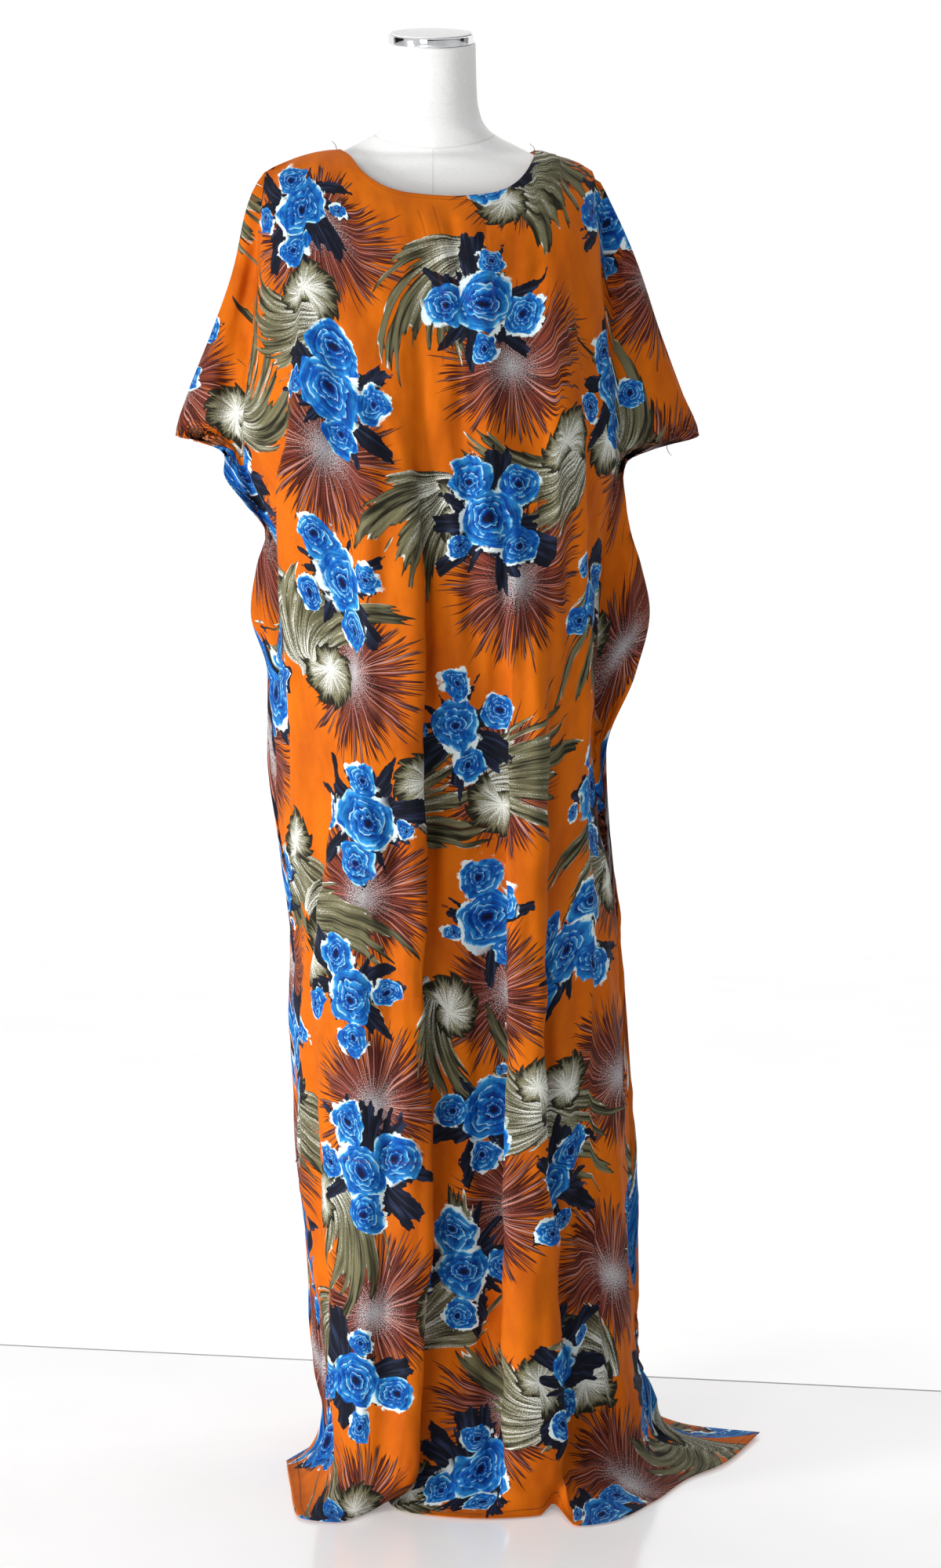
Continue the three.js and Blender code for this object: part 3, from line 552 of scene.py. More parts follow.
def add_relief(panel):
    points = panel["points"]
    x, y, z = points[:, :, 0], points[:, :, 1], points[:, :, 2]
    from_top, from_hem, from_neck, from_cuff = edge_distances(panel)
    panel["from_top"], panel["from_hem"] = from_top, from_hem
    panel["from_neck"], panel["from_cuff"] = from_neck, from_cuff
    columns = len(points)
    from_seam = np.minimum(np.arange(columns), np.arange(columns)[::-1])[:, None]
    calm = smooth(from_seam / 9) * smooth(from_top / 40) * smooth((z - 8) / 26)
    loose = 0.8 + 0.5 * smooth((1300 - z) / 300)
    relief = (ripple(x, y, z) * loose + crease_height(panel["creases"], x, z)) * calm
    relief = np.maximum(relief, -room_before_form(x, y, z) * smooth(from_top / 30))
    relief += 0.7 * smooth((HEM_WIDTH - from_hem) / 2.5 + 0.5)
    relief += 0.5 * smooth((NECK_EDGE_WIDTH - from_neck) / 2 + 0.5)
    relief += 0.5 * smooth((SLEEVE_HEM_WIDTH - from_cuff) / 2 + 0.5)
    pucker = np.sin(panel["across"] * 0.21) * np.exp(-(((from_hem - HEM_WIDTH) / 9) ** 2))
    relief += 0.5 * pucker * smooth((z - 1.5) / 4)
    return points + surface_normals(points, panel["facing"]) * relief[:, :, None]


for panel in (FRONT, BACK):
    panel["shaped"] = add_relief(panel)
    panel["shaped"][:, :, 2] = np.maximum(panel["shaped"][:, :, 2], LOWEST_Z)
    print(panel["name"], "lowest point", round(panel["shaped"][:, :, 2].min(), 2), "mm")

# %% [markdown]
# ## Making the panels
# A bmesh grid already has the right number of squares, so each of its points is simply moved to its
# place. Its map gives every point its place on the flat cloth, in metres, so that the print runs
# over the folds as real printed cotton does. A second map says how far the nearest finished edge is.

# %% Build a panel from a bmesh grid
def new_piece(name, mesh_data, material):
    mesh = bpy.data.meshes.new(name)
    mesh_data.to_mesh(mesh)
    mesh_data.free()
    piece = bpy.data.objects.new(name, mesh)
    bpy.context.scene.collection.objects.link(piece)
    for each in material if isinstance(material, (list, tuple)) else (material,):
        mesh.materials.append(each)
    mesh.shade_smooth()
    return piece


def build_panel(panel, materials):
    shaped = panel["shaped"] * MM
    columns, rows = shaped.shape[:2]
    cloth = bmesh.new()
    bmesh.ops.create_grid(cloth, x_segments=columns - 1, y_segments=rows - 1, size=0.5)
    flat_map = cloth.loops.layers.uv.new("flat_cloth")
    edge_map = cloth.loops.layers.uv.new("finished_edge")
    cloth.verts.ensure_lookup_table()
    flat_u = panel["across"] * MM * -panel["facing"] + panel["cut_from"]
    flat_v = (panel["tops"][:, None] - panel["from_top"]) * MM
    edge = np.minimum(panel["from_hem"] / HEM_WIDTH, panel["from_neck"] / NECK_EDGE_WIDTH)
    edge = np.minimum(edge, panel["from_cuff"] / SLEEVE_HEM_WIDTH)
    edge_along = np.where(panel["from_cuff"] < 60, flat_v, flat_u)
    place = {}
    for vert in cloth.verts:
        i = round((vert.co.x + 0.5) * (columns - 1))
        j = round((0.5 - vert.co.y) * (rows - 1))
        place[vert.index] = (i, j)
    for vert in cloth.verts:
        vert.co = shaped[place[vert.index]]
    for face in cloth.faces:
        for loop in face.loops:
            ij = place[loop.vert.index]
            loop[flat_map].uv = (flat_u[ij], flat_v[ij])
            loop[edge_map].uv = (edge_along[ij], min(edge[ij], 4))
    cloth.normal_update()
    outward = sum(face.normal.y * panel["facing"] for face in cloth.faces)
    if outward < 0:
        bmesh.ops.reverse_faces(cloth, faces=cloth.faces[:])
    return new_piece(panel["name"], cloth, materials)


print("each panel carries two maps: its place on the flat cloth and the distance to a finished edge")

# %% [markdown]
# ## Shader maths as expressions
# A print is a lot of arithmetic on the cloth's own map. Written as nodes by hand it would be
# hundreds of lines, so a small class wraps a socket, and plus, minus and times on it add the Math
# nodes. One method makes any other node.

# %% The wire and the finish
class Wire:
    """A number that changes over a surface."""

    def __init__(self, finish, socket):
        self.finish, self.socket = finish, socket

    def maths(self, operation, *others):
        inputs = dict(enumerate((self, *others)))
        node = self.finish.node("ShaderNodeMath", {"operation": operation}, inputs)
        return Wire(self.finish, node.outputs[0])

    def reflected(self, operation, other):
        node = self.finish.node("ShaderNodeMath", {"operation": operation}, {0: other, 1: self})
        return Wire(self.finish, node.outputs[0])

    def __add__(self, other):
        return self.maths("ADD", other)

    def __radd__(self, other):
        return self.maths("ADD", other)

    def __sub__(self, other):
        return self.maths("SUBTRACT", other)

    def __rsub__(self, other):
        return self.reflected("SUBTRACT", other)

    def __mul__(self, other):
        return self.maths("MULTIPLY", other)

    def __rmul__(self, other):
        return self.maths("MULTIPLY", other)

    def __truediv__(self, other):
        return self.maths("DIVIDE", other)

    def __rtruediv__(self, other):
        return self.reflected("DIVIDE", other)

    def clamp(self):
        """The same value, kept between 0 and 1."""
        return (self + 0.0).with_clamp()

    def with_clamp(self):
        self.socket.node.use_clamp = True
        return self

    def edge(self, from_value, to_value):
        """0 below from_value, 1 above to_value, straight between."""
        return ((self - from_value) * (1 / (to_value - from_value))).with_clamp()


class Finish:
    """A material, or the studio's surroundings, and the means to fill its tree."""

    def __init__(self, name, kind="materials"):
        self.material = getattr(bpy.data, kind).new(name)
        self.material.use_nodes = True
        self.tree = self.material.node_tree
        self.tree.nodes.clear()

    def node(self, kind, settings=None, inputs=None):
        node = self.tree.nodes.new(kind)
        for key, value in (settings or {}).items():
            if key == "stops":
                for _ in range(len(value) - 2):
                    node.color_ramp.elements.new(0.5)
                for element, (place, colour) in zip(node.color_ramp.elements, value):
                    element.position, element.color = place, (*colour, 1)
            else:
                setattr(node, key, value)
        for key, value in (inputs or {}).items():
            if isinstance(value, Wire):
                self.tree.links.new(value.socket, node.inputs[key])
            else:
                node.inputs[key].default_value = value
        return node

    def wire(self, kind, settings=None, inputs=None, output=0):
        return Wire(self, self.node(kind, settings, inputs).outputs[output])

    def vector(self, x, y, z=0.0):
        return self.wire("ShaderNodeCombineXYZ", None, {0: x, 1: y, 2: z})

    def parts(self, vector):
        node = self.node("ShaderNodeSeparateXYZ", None, {0: vector})
        return [Wire(self, node.outputs[i]) for i in range(3)]

    def noise(self, vector, scale=1.0, detail=2.0, roughness=0.5):
        inputs = {"Vector": vector, "Scale": scale, "Detail": detail, "Roughness": roughness}
        return self.wire("ShaderNodeTexNoise", {"noise_dimensions": "3D"}, inputs)

    def mix(self, share, first, second):
        settings = {"data_type": "RGBA", "clamp_factor": True}
        inputs = {0: share}
        for key, value in ((6, first), (7, second)):
            inputs[key] = value if isinstance(value, Wire) else (*value, 1)
        return self.wire("ShaderNodeMix", settings, inputs, output=2)

    def place(self):
        """Where a point is on its own piece, in metres."""
        return self.wire("ShaderNodeTexCoord", output=3)

    def map(self, name):
        return self.wire("ShaderNodeUVMap", {"uv_map": name})

    def surface(self, settings, bump=None, strength=0.3, distance=0.0005):
        inputs = dict(settings)
        if bump is not None:
            bump_inputs = {"Strength": strength, "Distance": distance, "Height": bump}
            inputs["Normal"] = self.wire("ShaderNodeBump", None, bump_inputs)
        shader = self.wire("ShaderNodeBsdfPrincipled", None, inputs)
        self.node("ShaderNodeOutputMaterial", None, {"Surface": shader})
        return self.material


def ink(red, green, blue):
    """A colour from its screen values, 0 to 255, as the light it stands for."""
    return tuple(((v / 255 + 0.055) / 1.055) ** 2.4 if v > 10 else v / 3295 for v in (red, green, blue))


print("ink(222, 120, 20) is", [round(v, 3) for v in ink(222, 120, 20)])

# %% [markdown]
# ## The print
# The cloth is a bright printed cotton: blue roses with pale petal edges, feathery plumes in grey and
# white, and fine maroon starbursts, on orange. These motifs are drawn afresh in a layout of their
# own. Each kind lies in its own loose lattice of cells, turned and shifted by each cell's own random
# numbers, and a motif stays inside its cell so that nothing is cut off.

# %% Cells and directions
def cells(f, u, v, width, height, shift, seed, jitter):
    """Place from the middle of a half-drop cell, turned by the cell's own angle, and its randoms."""
    across = (u + shift[0]) / width
    column = across.maths("FLOOR")
    up = (v + shift[1]) / height + (column * 0.5).maths("FRACT")
    row = up.maths("FLOOR")
    place = {"Vector": f.vector(column, row, seed)}
    one, two, three = f.parts(f.wire("ShaderNodeTexWhiteNoise", {"noise_dimensions": "3D"}, place, 1))
    x = (across - column - 0.5) * width - (one - 0.5) * jitter
    y = (up - row - 0.5) * height - (two - 0.5) * jitter
    turn = three * math.tau
    cosine, sine = turn.maths("COSINE"), turn.maths("SINE")
    return x * cosine + y * sine, y * cosine - x * sine, one, two, three


def polar(x, y):
    """Distance from the middle and the direction there as a unit pair."""
    distance = (x * x + y * y + 1e-8).maths("SQRT")
    return distance, x / distance, y / distance


def rays(f, dx, dy, distance, count, seed, along, detail=2.0, roughness=0.55):
    """Noise that changes with direction and hardly with distance, so it makes rays."""
    place = f.vector(dx * count, dy * count, distance * along + seed)
    return f.noise(place, detail=detail, roughness=roughness)


print("a cell's motif may turn through", round(math.degrees(math.tau)), "degrees")

# %% The ground and the starbursts
GROUND, GROUND_DEEP = ink(215, 107, 0), ink(186, 84, 2)
BURST, BURST_DARK, BURST_PALE = ink(128, 54, 40), ink(44, 18, 14), ink(206, 148, 132)
STIPPLE = ink(206, 210, 214)
BURST_REACH = 0.06


def starburst(f, u, v, colour, grain, shift, seed):
    x, y, one, *_ = cells(f, u, v, 0.244, 0.25, shift, seed, 0.012)
    distance, dx, dy = polar(x, y * 0.9)
    lean = rays(f, dx, dy, distance, 0.9, one * 9 + seed, 0)
    out = distance / (BURST_REACH + lean * 0.058)
    lines = rays(f, dx, dy, distance, 34, seed + 3, 5, detail=1.5)
    lengths = rays(f, dx, dy, distance, 21, seed + 8, 0, detail=1)
    cover = (1.0 + (lengths - 0.5) * 1.3 - out).edge(0, 0.04) * (lines - 0.24 - out * out * 0.3).edge(0, 0.03)
    tone = f.mix(lines.edge(0.4, 0.56), BURST_DARK, BURST)
    tone = f.mix(out.edge(0.5, 0.9) * 0.85, tone, BURST_DARK)
    tone = f.mix(lines.edge(0.58, 0.66) * (1.1 - out).edge(0, 0.5) * 0.8, tone, BURST_PALE)
    tone = f.mix((0.5 - out * 2.1 + (grain - 0.5) * 3).edge(0, 0.5) * 0.85, tone, STIPPLE)
    return f.mix(cover, colour, tone)


print("starbursts reach about", round(BURST_REACH * 1000 + 29), "mm")

# %% The plumes
PLUME_DARK, PLUME, PLUME_PALE = ink(34, 32, 22), ink(116, 112, 82), ink(238, 240, 232)
CURL_INNER, CURL_GROWTH = 0.017, 0.029
FAN_X, FAN_Y = -0.031, 0.036


def plume(f, u, v, colour, grain, cell, shift, seed, curl):
    """A rolled-in head whose wide end runs out in a fan of ragged tongues."""
    x, y, one, two, _ = cells(f, u, v, *cell, shift, seed, 0.02)
    x = x * (1 if curl > 0 else -1)
    y = y - 0.045
    distance, dx, dy = polar(x - FAN_X, y - FAN_Y)
    swing = (distance - 0.06) * (abs(curl) * (0.4 + one * 0.8))
    cosine, sine = swing.maths("COSINE"), swing.maths("SINE")
    ahead, aside = dx * sine - dy * cosine, dx * cosine + dy * sine
    window = (ahead - 0.72).edge(0, 0.2) * distance.edge(0.02, 0.04)
    tongues = rays(f, ahead, aside, distance, 4.8, two * 30 + seed, 5, detail=3, roughness=0.6)
    tongues = tongues.edge(0.36, 0.64)
    fringe = rays(f, ahead, aside, distance, 17, seed + 2, 6, detail=2).edge(0.36, 0.64)
    reach = window.maths("SQRT") * (0.076 + tongues * 0.1 + fringe * 0.03)
    over = reach - distance
    streaks = rays(f, ahead, aside, distance, 21, seed + 5, 14, detail=2.5)
    tone = f.mix(streaks.edge(0.36, 0.54), PLUME_DARK, PLUME)
    root = 0.66 - distance / 0.11 + (grain - 0.5) * 2.4 + (streaks - 0.5) * 3
    tone = f.mix(root.edge(0.1, 0.8), tone, PLUME_PALE)
    tone = f.mix(over.edge(0.01, 0.002) * streaks.edge(0.6, 0.5), tone, PLUME_DARK)
    tone = f.mix(over.edge(0.007, 0.003) * streaks.edge(0.56, 0.62), tone, PLUME_PALE)
    colour = f.mix(over.edge(0, 0.0012), colour, tone)
    return rolled_head(f, x, y, colour, grain, seed)


def rolled_head(f, x, y, colour, grain, seed):
    """The head of a plume, rolled in like a shell: pale inside, dark and toothed round its back."""
    distance, dx, dy = polar(x, y)
    around = dy.maths("ARCTAN2", dx) / math.tau + 0.5
    teeth = (around * 13 - distance * 20).maths("FRACT") * around.edge(0.1, 0.3)
    wobble = rays(f, dx, dy, distance, 1.4, seed + 9, 0)
    radius = CURL_INNER + around * CURL_GROWTH + teeth * 0.006 + (wobble - 0.5) * 0.012
    out = distance / radius
    speckle = (grain - 0.5) * 2.0
    streaks = rays(f, dx, dy, distance, 14, seed + 4, 20, detail=2)
    tone = f.mix((0.84 - out * 1.2 + speckle + (streaks - 0.5) * 2.4).edge(0, 0.7), PLUME, PLUME_PALE)
    tone = f.mix((out - 0.7 + speckle * 0.08 + (streaks - 0.5) * 0.9).edge(0, 0.16), tone, PLUME_DARK)
    return f.mix(out.edge(1.0, 0.97), colour, tone)


print("plume heads are up to", round((CURL_INNER + CURL_GROWTH) * 2000), "mm across")

# %% The roses, their leaves and the pale edge round them
ROSE_DEEP, ROSE, ROSE_LIGHT = ink(0, 30, 100), ink(0, 88, 186), ink(56, 172, 230)
PETAL_EDGE, SPLASH, HEART = ink(188, 232, 244), ink(228, 242, 242), ink(4, 12, 40)
LEAF, LEAF_LIGHT = ink(14, 17, 30), ink(40, 50, 78)
CLUSTER_WIDTH, CLUSTER_HEIGHT, CLUSTER_SHIFT, CLUSTER_SEED = 0.206, 0.232, (0.05, 0.11), 41.0
PETAL_RINGS = (1.0, 0.72, 0.48, 0.27)
CLUSTER_ROSES = table(
    "x y radius least",
    (0.004, -0.006, 0.033, 0.9), (0.047, 0.016, 0.025, 0.75), (-0.018, 0.044, 0.022, 0.6),
    (-0.046, -0.012, 0.026, 0.65), (0.016, -0.053, 0.021, 0.3),
)


def cluster_place(f, u, v):
    return cells(f, u, v, CLUSTER_WIDTH, CLUSTER_HEIGHT, CLUSTER_SHIFT, CLUSTER_SEED, 0.07)


def leaves(f, u, v, colour):
    x, y, one, *_ = cluster_place(f, u, v)
    distance, dx, dy = polar(x - 0.012, y)
    lobes = rays(f, dx, dy, distance, 1.9, one * 30, 5, detail=2).edge(0.42, 0.66)
    notches = f.noise(f.vector(u, v, 9.0), scale=130, detail=2)
    over = 0.03 + lobes * 0.06 - distance + (notches - 0.5) * 0.026
    veins = rays(f, dx, dy, distance, 16, 4.0, 22, detail=2)
    tone = f.mix(veins.edge(0.5, 0.68), LEAF, LEAF_LIGHT)
    return f.mix(over.edge(0, 0.0012), colour, tone)


def nearest_rose(x, y, randoms):
    """Where a point lies from the middle of the cluster's nearest rose, and that rose's radius."""
    best = None
    for k, rose in enumerate(CLUSTER_ROSES):
        dx, dy = x - rose["x"], y - rose["y"]
        radius = (randoms[k % 3] * (1.2 - rose["least"]) + rose["least"]) * rose["radius"]
        share = (dx * dx + dy * dy + 1e-8).maths("SQRT") / radius
        found = {"share": share, "dx": dx, "dy": dy, "radius": radius, "twist": radius * 800 + k}
        if best is None:
            best = found
        else:
            nearer = share.maths("LESS_THAN", best["share"])
            best = {key: best[key] + (found[key] - best[key]) * nearer for key in best}
    return best


def roses(f, u, v, colour, grain):
    x, y, *randoms = cluster_place(f, u, v)
    x = x + (f.noise(f.vector(u, v, 14.0), scale=26, detail=1) - 0.5) * 0.02
    y = y + (f.noise(f.vector(u, v, 17.0), scale=26, detail=1) - 0.5) * 0.02
    rose = nearest_rose(x, y, randoms)
    radius, twist = rose["radius"], rose["twist"]
    distance, dx, dy = polar(rose["dx"], rose["dy"])
    ragged = f.noise(f.vector(u, v, 2.0), scale=70, detail=3, roughness=0.6)
    ring = distance / (radius * 1.05 + (ragged - 0.5) * 0.026)
    wet = f.noise(f.vector(u, v, 6.0), scale=17, detail=1).edge(0.47, 0.51)
    colour = f.mix(ring.edge(1.04, 1.0) * ragged.edge(0.36, 0.42) * wet, colour, SPLASH)
    gate = rays(f, dx, dy, distance, 2.6, twist * 5, 60, detail=2)
    brush = rays(f, dx, dy, distance, 1.3, twist * 3, 420, detail=2)
    tone = None
    for k, share in enumerate(PETAL_RINGS):
        lobes = rays(f, dx, dy, distance, 1.3 + 0.25 * k, twist * 4 + 7.0 * k, 0, detail=1.2)
        q = distance / (radius * (share * 0.62 + lobes * 0.72 * share))
        petal = f.mix(q.edge(0.5, 1.0), ROSE_DEEP, ROSE)
        petal = f.mix(q.edge(0.62, 0.96) * (brush + gate - 0.84).edge(0, 0.4), petal, ROSE_LIGHT)
        petal = f.mix(q.edge(0.89, 0.95) * (gate - 0.5 + 0.02 * k).edge(0, 0.08), petal, PETAL_EDGE)
        if tone is None:
            tone, whole = petal, q.edge(1.0, 0.97)
        else:
            tone = f.mix(q.edge(1.0, 0.94), tone, petal)
    heart = (0.14 - distance / radius + (gate - 0.5) * 0.4).edge(0, 0.06)
    tone = f.mix(heart, tone, HEART)
    return f.mix(whole, colour, tone)


print("a cluster has", len(CLUSTER_ROSES), "roses")

# %% [markdown]
# ## The cotton
# The print lies on plain weave with about 28 threads to the centimetre, far finer than a pixel, so
# the weave is only a faint bump. The wrong side shows the print faintly and browner, because the ink
# hardly reaches through. Topstitching follows the second map, and thin pressed creases the first;
# their grooves are darkened with painted shade.

# %% The printed side and the wrong side
THREADS_PER_METRE = 2800
STITCH_LENGTH = 0.0032


def print_colour(f):
    u, v, _ = f.parts(f.map("flat_cloth"))
    grain = f.noise(f.vector(u, v, 1.0), scale=900, detail=1)
    stain = f.noise(f.vector(u * 1.6, v * 0.8, 5.0), scale=11, detail=4, roughness=0.6)
    colour = f.mix(stain.edge(0.4, 0.7), GROUND, GROUND_DEEP)
    colour = starburst(f, u, v, colour, grain, (0.02, 0.04), 11.0)
    colour = plume(f, u, v, colour, grain, (0.274, 0.292), (0.14, 0.19), 23.0, 5.0)
    colour = plume(f, u, v, colour, grain, (0.33, 0.352), (0.03, 0.05), 31.0, -6.0)
    colour = leaves(f, u, v, colour)
    return roses(f, u, v, colour, grain), u, v, grain


def weave(u, v):
    warp = (u * (THREADS_PER_METRE * math.tau / 2)).maths("SINE")
    weft = (v * (THREADS_PER_METRE * math.tau / 2)).maths("SINE")
    return warp * weft


def stitches(f):
    """A dark dashed line along every finished edge."""
    along, across, _ = f.parts(f.map("finished_edge"))
    line = (0.06 - (across - 0.9).maths("ABSOLUTE")).edge(0, 0.03)
    dash = ((along / STITCH_LENGTH).maths("FRACT") - 0.28).edge(0, 0.1)
    return line * dash


SHARP_CREASES = table(
    "u1 v1 u2 v2 deep",
    (-0.017, 1.520, 0.012, 1.418, 1.0), (0.0, 1.528, 0.023, 1.435, 1.0), (0.023, 1.435, 0.067, 1.384, 0.8),
    (0.060, 1.508, 0.076, 1.384, 0.9), (0.012, 1.418, 0.012, 1.340, 0.8), (-0.026, 0.790, 0.11, 0.786, 1.0),
    (-0.16, 0.742, -0.05, 0.700, 1.0), (-0.19, 0.592, 0.13, 0.588, -0.8), (-0.22, 0.392, -0.08, 0.396, 1.0),
)
CREASE_WIDTH = 0.0028


def sharp_creases(u, v):
    """The thin ridges and grooves that folding in a shop pressed into the cloth; their depth also sets the
    painted shade in the grooves.
    """
    total = None
    for crease in SHARP_CREASES:
        du, dv = crease["u2"] - crease["u1"], crease["v2"] - crease["v1"]
        along_u, along_v = u - crease["u1"], v - crease["v1"]
        share = ((along_u * du + along_v * dv) / (du * du + dv * dv)).clamp()
        off_u, off_v = along_u - share * du, along_v - share * dv
        away = (off_u * off_u + off_v * off_v).maths("SQRT")
        crease_groove_and_shade = away.edge(CREASE_WIDTH, 0.0) * -crease["deep"]
        total = crease_groove_and_shade if total is None else total + crease_groove_and_shade
    return total


def right_side():
    f = Finish("printed_cotton")
    colour, u, v, grain = print_colour(f)
    thread = stitches(f)
    crease_groove_and_shade = sharp_creases(u, v)
    # Painted shade: the cotton is darkened along each pressed groove, where shade falls in the crease.
    colour = f.mix(crease_groove_and_shade * -0.2, colour, ink(110, 46, 8))
    colour = f.mix(thread * 0.85, colour, ink(46, 26, 20))
    height = weave(u, v) * 0.4 + grain * 0.5 - thread * 1.5 + crease_groove_and_shade * 6
    settings = {"Base Color": colour, "Roughness": 0.66 + grain * 0.16, "Specular IOR Level": 0.16}
    return f.surface(settings, bump=height, strength=0.35, distance=0.0003)


def wrong_side():
    f = Finish("cotton_wrong_side")
    colour, u, v, _ = print_colour(f)
    colour = f.mix(0.62, colour, ink(196, 120, 78))
    settings = {"Base Color": colour, "Roughness": 0.82, "Sheen Weight": 0.1}
    return f.surface(settings, bump=weave(u, v), strength=0.3, distance=0.0003)


COTTON, COTTON_INSIDE = right_side(), wrong_side()
print("the print has", len(COTTON.node_tree.nodes), "nodes")

# %% Make both panels
CLOTH_THICKNESS = 0.0006

for panel in (FRONT, BACK):
    piece = build_panel(panel, [COTTON, COTTON_INSIDE])
    panel["piece"] = piece
    thick = piece.modifiers.new("thickness", "SOLIDIFY")
    thick.thickness = CLOTH_THICKNESS
    thick.offset = 0
    thick.material_offset = 1
    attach(piece, "root")
    area = sum(face.area for face in piece.data.polygons)
    print(panel["name"], "area", round(area, 3), "m2")

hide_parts("front_panel")
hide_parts("back_panel")

# %% [markdown]
# ## The form
# Only the neck and the upper chest of the dress form show. It is covered in white linen with a seam
# down the middle of the chest and another round the base of the neck. A ring of points is extruded
# upwards level by level, each time moved to the next row of the table.

# %% A ring of the torso and a closed skin through rings
NECK_TILT = math.radians(12)
NECK_TILT_FROM = 1632
RING_SIDES = 120


def torso_ring(z):
    width, front, back, square = (float(at(TORSO, key, z)) for key in ("width", "front", "back", "square"))
    lean = max(0, (z - NECK_TILT_FROM) / (TORSO[-1]["z"] - NECK_TILT_FROM))
    power = 2 / square
    ring = []
    for i in range(RING_SIDES):
        c, s = math.cos(math.tau * i / RING_SIDES), math.sin(math.tau * i / RING_SIDES)
        x = width * math.copysign(abs(c) ** power, c)
        y = (front if s < 0 else back) * math.copysign(abs(s) ** power, s)
        ring.append(Vector((x, y, z + y * math.tan(NECK_TILT) * lean)) * MM)
    return ring


def build_tube(name, rings, material):
    """A closed skin through rings of points: a bmesh grid, moved, welded at its seam and capped."""
    skin = bmesh.new()
    sides, levels = len(rings[0]), len(rings)
    bmesh.ops.create_grid(skin, x_segments=sides, y_segments=levels - 1, size=0.5)
    for vert in skin.verts:
        i = round((vert.co.x + 0.5) * sides) % sides
        j = round((vert.co.y + 0.5) * (levels - 1))
        vert.co = rings[j][i]
    bmesh.ops.remove_doubles(skin, verts=skin.verts[:], dist=1e-6)
    bmesh.ops.holes_fill(skin, edges=[edge for edge in skin.edges if edge.is_boundary])
    bmesh.ops.recalc_face_normals(skin, faces=skin.faces[:])
    return new_piece(name, skin, material)


print("the neck is", 2 * TORSO[-1]["width"], "mm across at the top")

# %% The linen and the form
NECK_SEAM_BACK, NECK_SEAM_DROP = 1.627, -0.27


def linen(seams):
    """White linen: fine crossed threads, and faint seams where the form has them."""
    f = Finish("form_linen" if seams else "cap_linen")
    place = f.place()
    x, y, z = f.parts(place)
    across = f.noise(f.vector(x * 1700, y * 1700, z * 160), scale=1, detail=1)
    along = f.noise(f.vector(x * 200, y * 200, z * 2100), scale=1, detail=1)
    mottle = f.noise(place, scale=11, detail=3)
    height = across * 0.5 + along * 0.5
    colour = f.mix(height.edge(0.3, 0.6), ink(236, 236, 235), ink(251, 251, 250))
    colour = f.mix(mottle.edge(0.5, 0.8) * 0.25, colour, ink(240, 237, 231))
    if seams:
        drop = NECK_SEAM_BACK + (0.048 - y) * NECK_SEAM_DROP + x * x * 1.6
        neck = (0.0011 - (z - drop).maths("ABSOLUTE")).edge(0, 0.0007)
        below = (drop - z).edge(0, 0.001) * (0.0 - y).edge(0.01, 0.011)
        middle = (0.001 - (x + 0.001).maths("ABSOLUTE")).edge(0, 0.0006) * below
        seam = middle.maths("MAXIMUM", neck)
        colour = f.mix(seam * 0.3, colour, ink(176, 172, 166))
        height = height - seam * 3
    settings = {"Base Color": colour, "Roughness": 0.8, "Sheen Weight": 0.1}
    return f.surface(settings, bump=height, strength=0.22, distance=0.0003)


FINER_FROM_Z = 1500
lower = np.linspace(TORSO[0]["z"], FINER_FROM_Z, 60)
heights = np.concatenate((lower, np.linspace(FINER_FROM_Z + 4, TORSO[-1]["z"], 96)))
LINEN = linen(True)
torso = build_tube("form_linen", [torso_ring(float(z)) for z in heights], LINEN)
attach(torso, "root")
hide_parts("form_torso")
print("the form has", len(torso.data.polygons), "faces")

# %% [markdown]
# ## Cap and stand
# The neck ends in a cap: a polished metal rim that holds a round of the same linen. Its edges were
# rolled, so they catch a thin light. Under the skirt a plain painted pole stands on a round base.
# Each of these is turned work, so a short profile is spun about its own axis.

# %% Chrome, painted steel and a spun piece
def chrome():
    """Polished metal with fine turning marks and the smudges of hands."""
    f = Finish("chrome_rim")
    place = f.place()
    x, y, z = f.parts(place)
    turned = f.noise(f.vector(x * 40, y * 40, z * 2400), scale=1, detail=2)
    smudge = f.noise(place, scale=60, detail=3)
    colour = f.mix(smudge.edge(0.4, 0.8), ink(236, 238, 240), ink(214, 217, 220))
    settings = {"Base Color": colour, "Metallic": 1.0, "Roughness": 0.04 + smudge * 0.06}
    return f.surface(settings, bump=turned, strength=0.03, distance=0.0001)


def painted_steel():
    f = Finish("white_steel")
    place = f.place()
    orange_peel = f.noise(place, scale=700, detail=1)
    scuff = f.noise(place, scale=22, detail=5, roughness=0.7)
    colour = f.mix(scuff.edge(0.56, 0.7) * 0.5, ink(232, 232, 229), ink(196, 194, 188))
    settings = {"Base Color": colour, "Roughness": 0.32 + scuff * 0.2, "Coat Weight": 0.2}
    return f.surface(settings, bump=orange_peel, strength=0.15, distance=0.0003)


TURNED_SIDES = 96


def spun(name, profile, matrix, material):
    """A closed turned piece from (radius, height) pairs that begin and end on the axis."""
    turned = bmesh.new()
    points = [turned.verts.new((radius, 0, height)) for radius, height in profile]
    edges = [turned.edges.new(pair) for pair in zip(points, points[1:])]
    bmesh.ops.spin(
        turned, geom=points + edges, cent=(0, 0, 0), axis=(0, 0, 1), dvec=(0, 0, 0), angle=math.tau,
        steps=TURNED_SIDES, use_merge=True,
    )
    bmesh.ops.remove_doubles(turned, verts=turned.verts[:], dist=1e-6)
    bmesh.ops.recalc_face_normals(turned, faces=turned.faces[:])
    bmesh.ops.transform(turned, matrix=matrix, verts=turned.verts[:])
    return new_piece(name, turned, material)


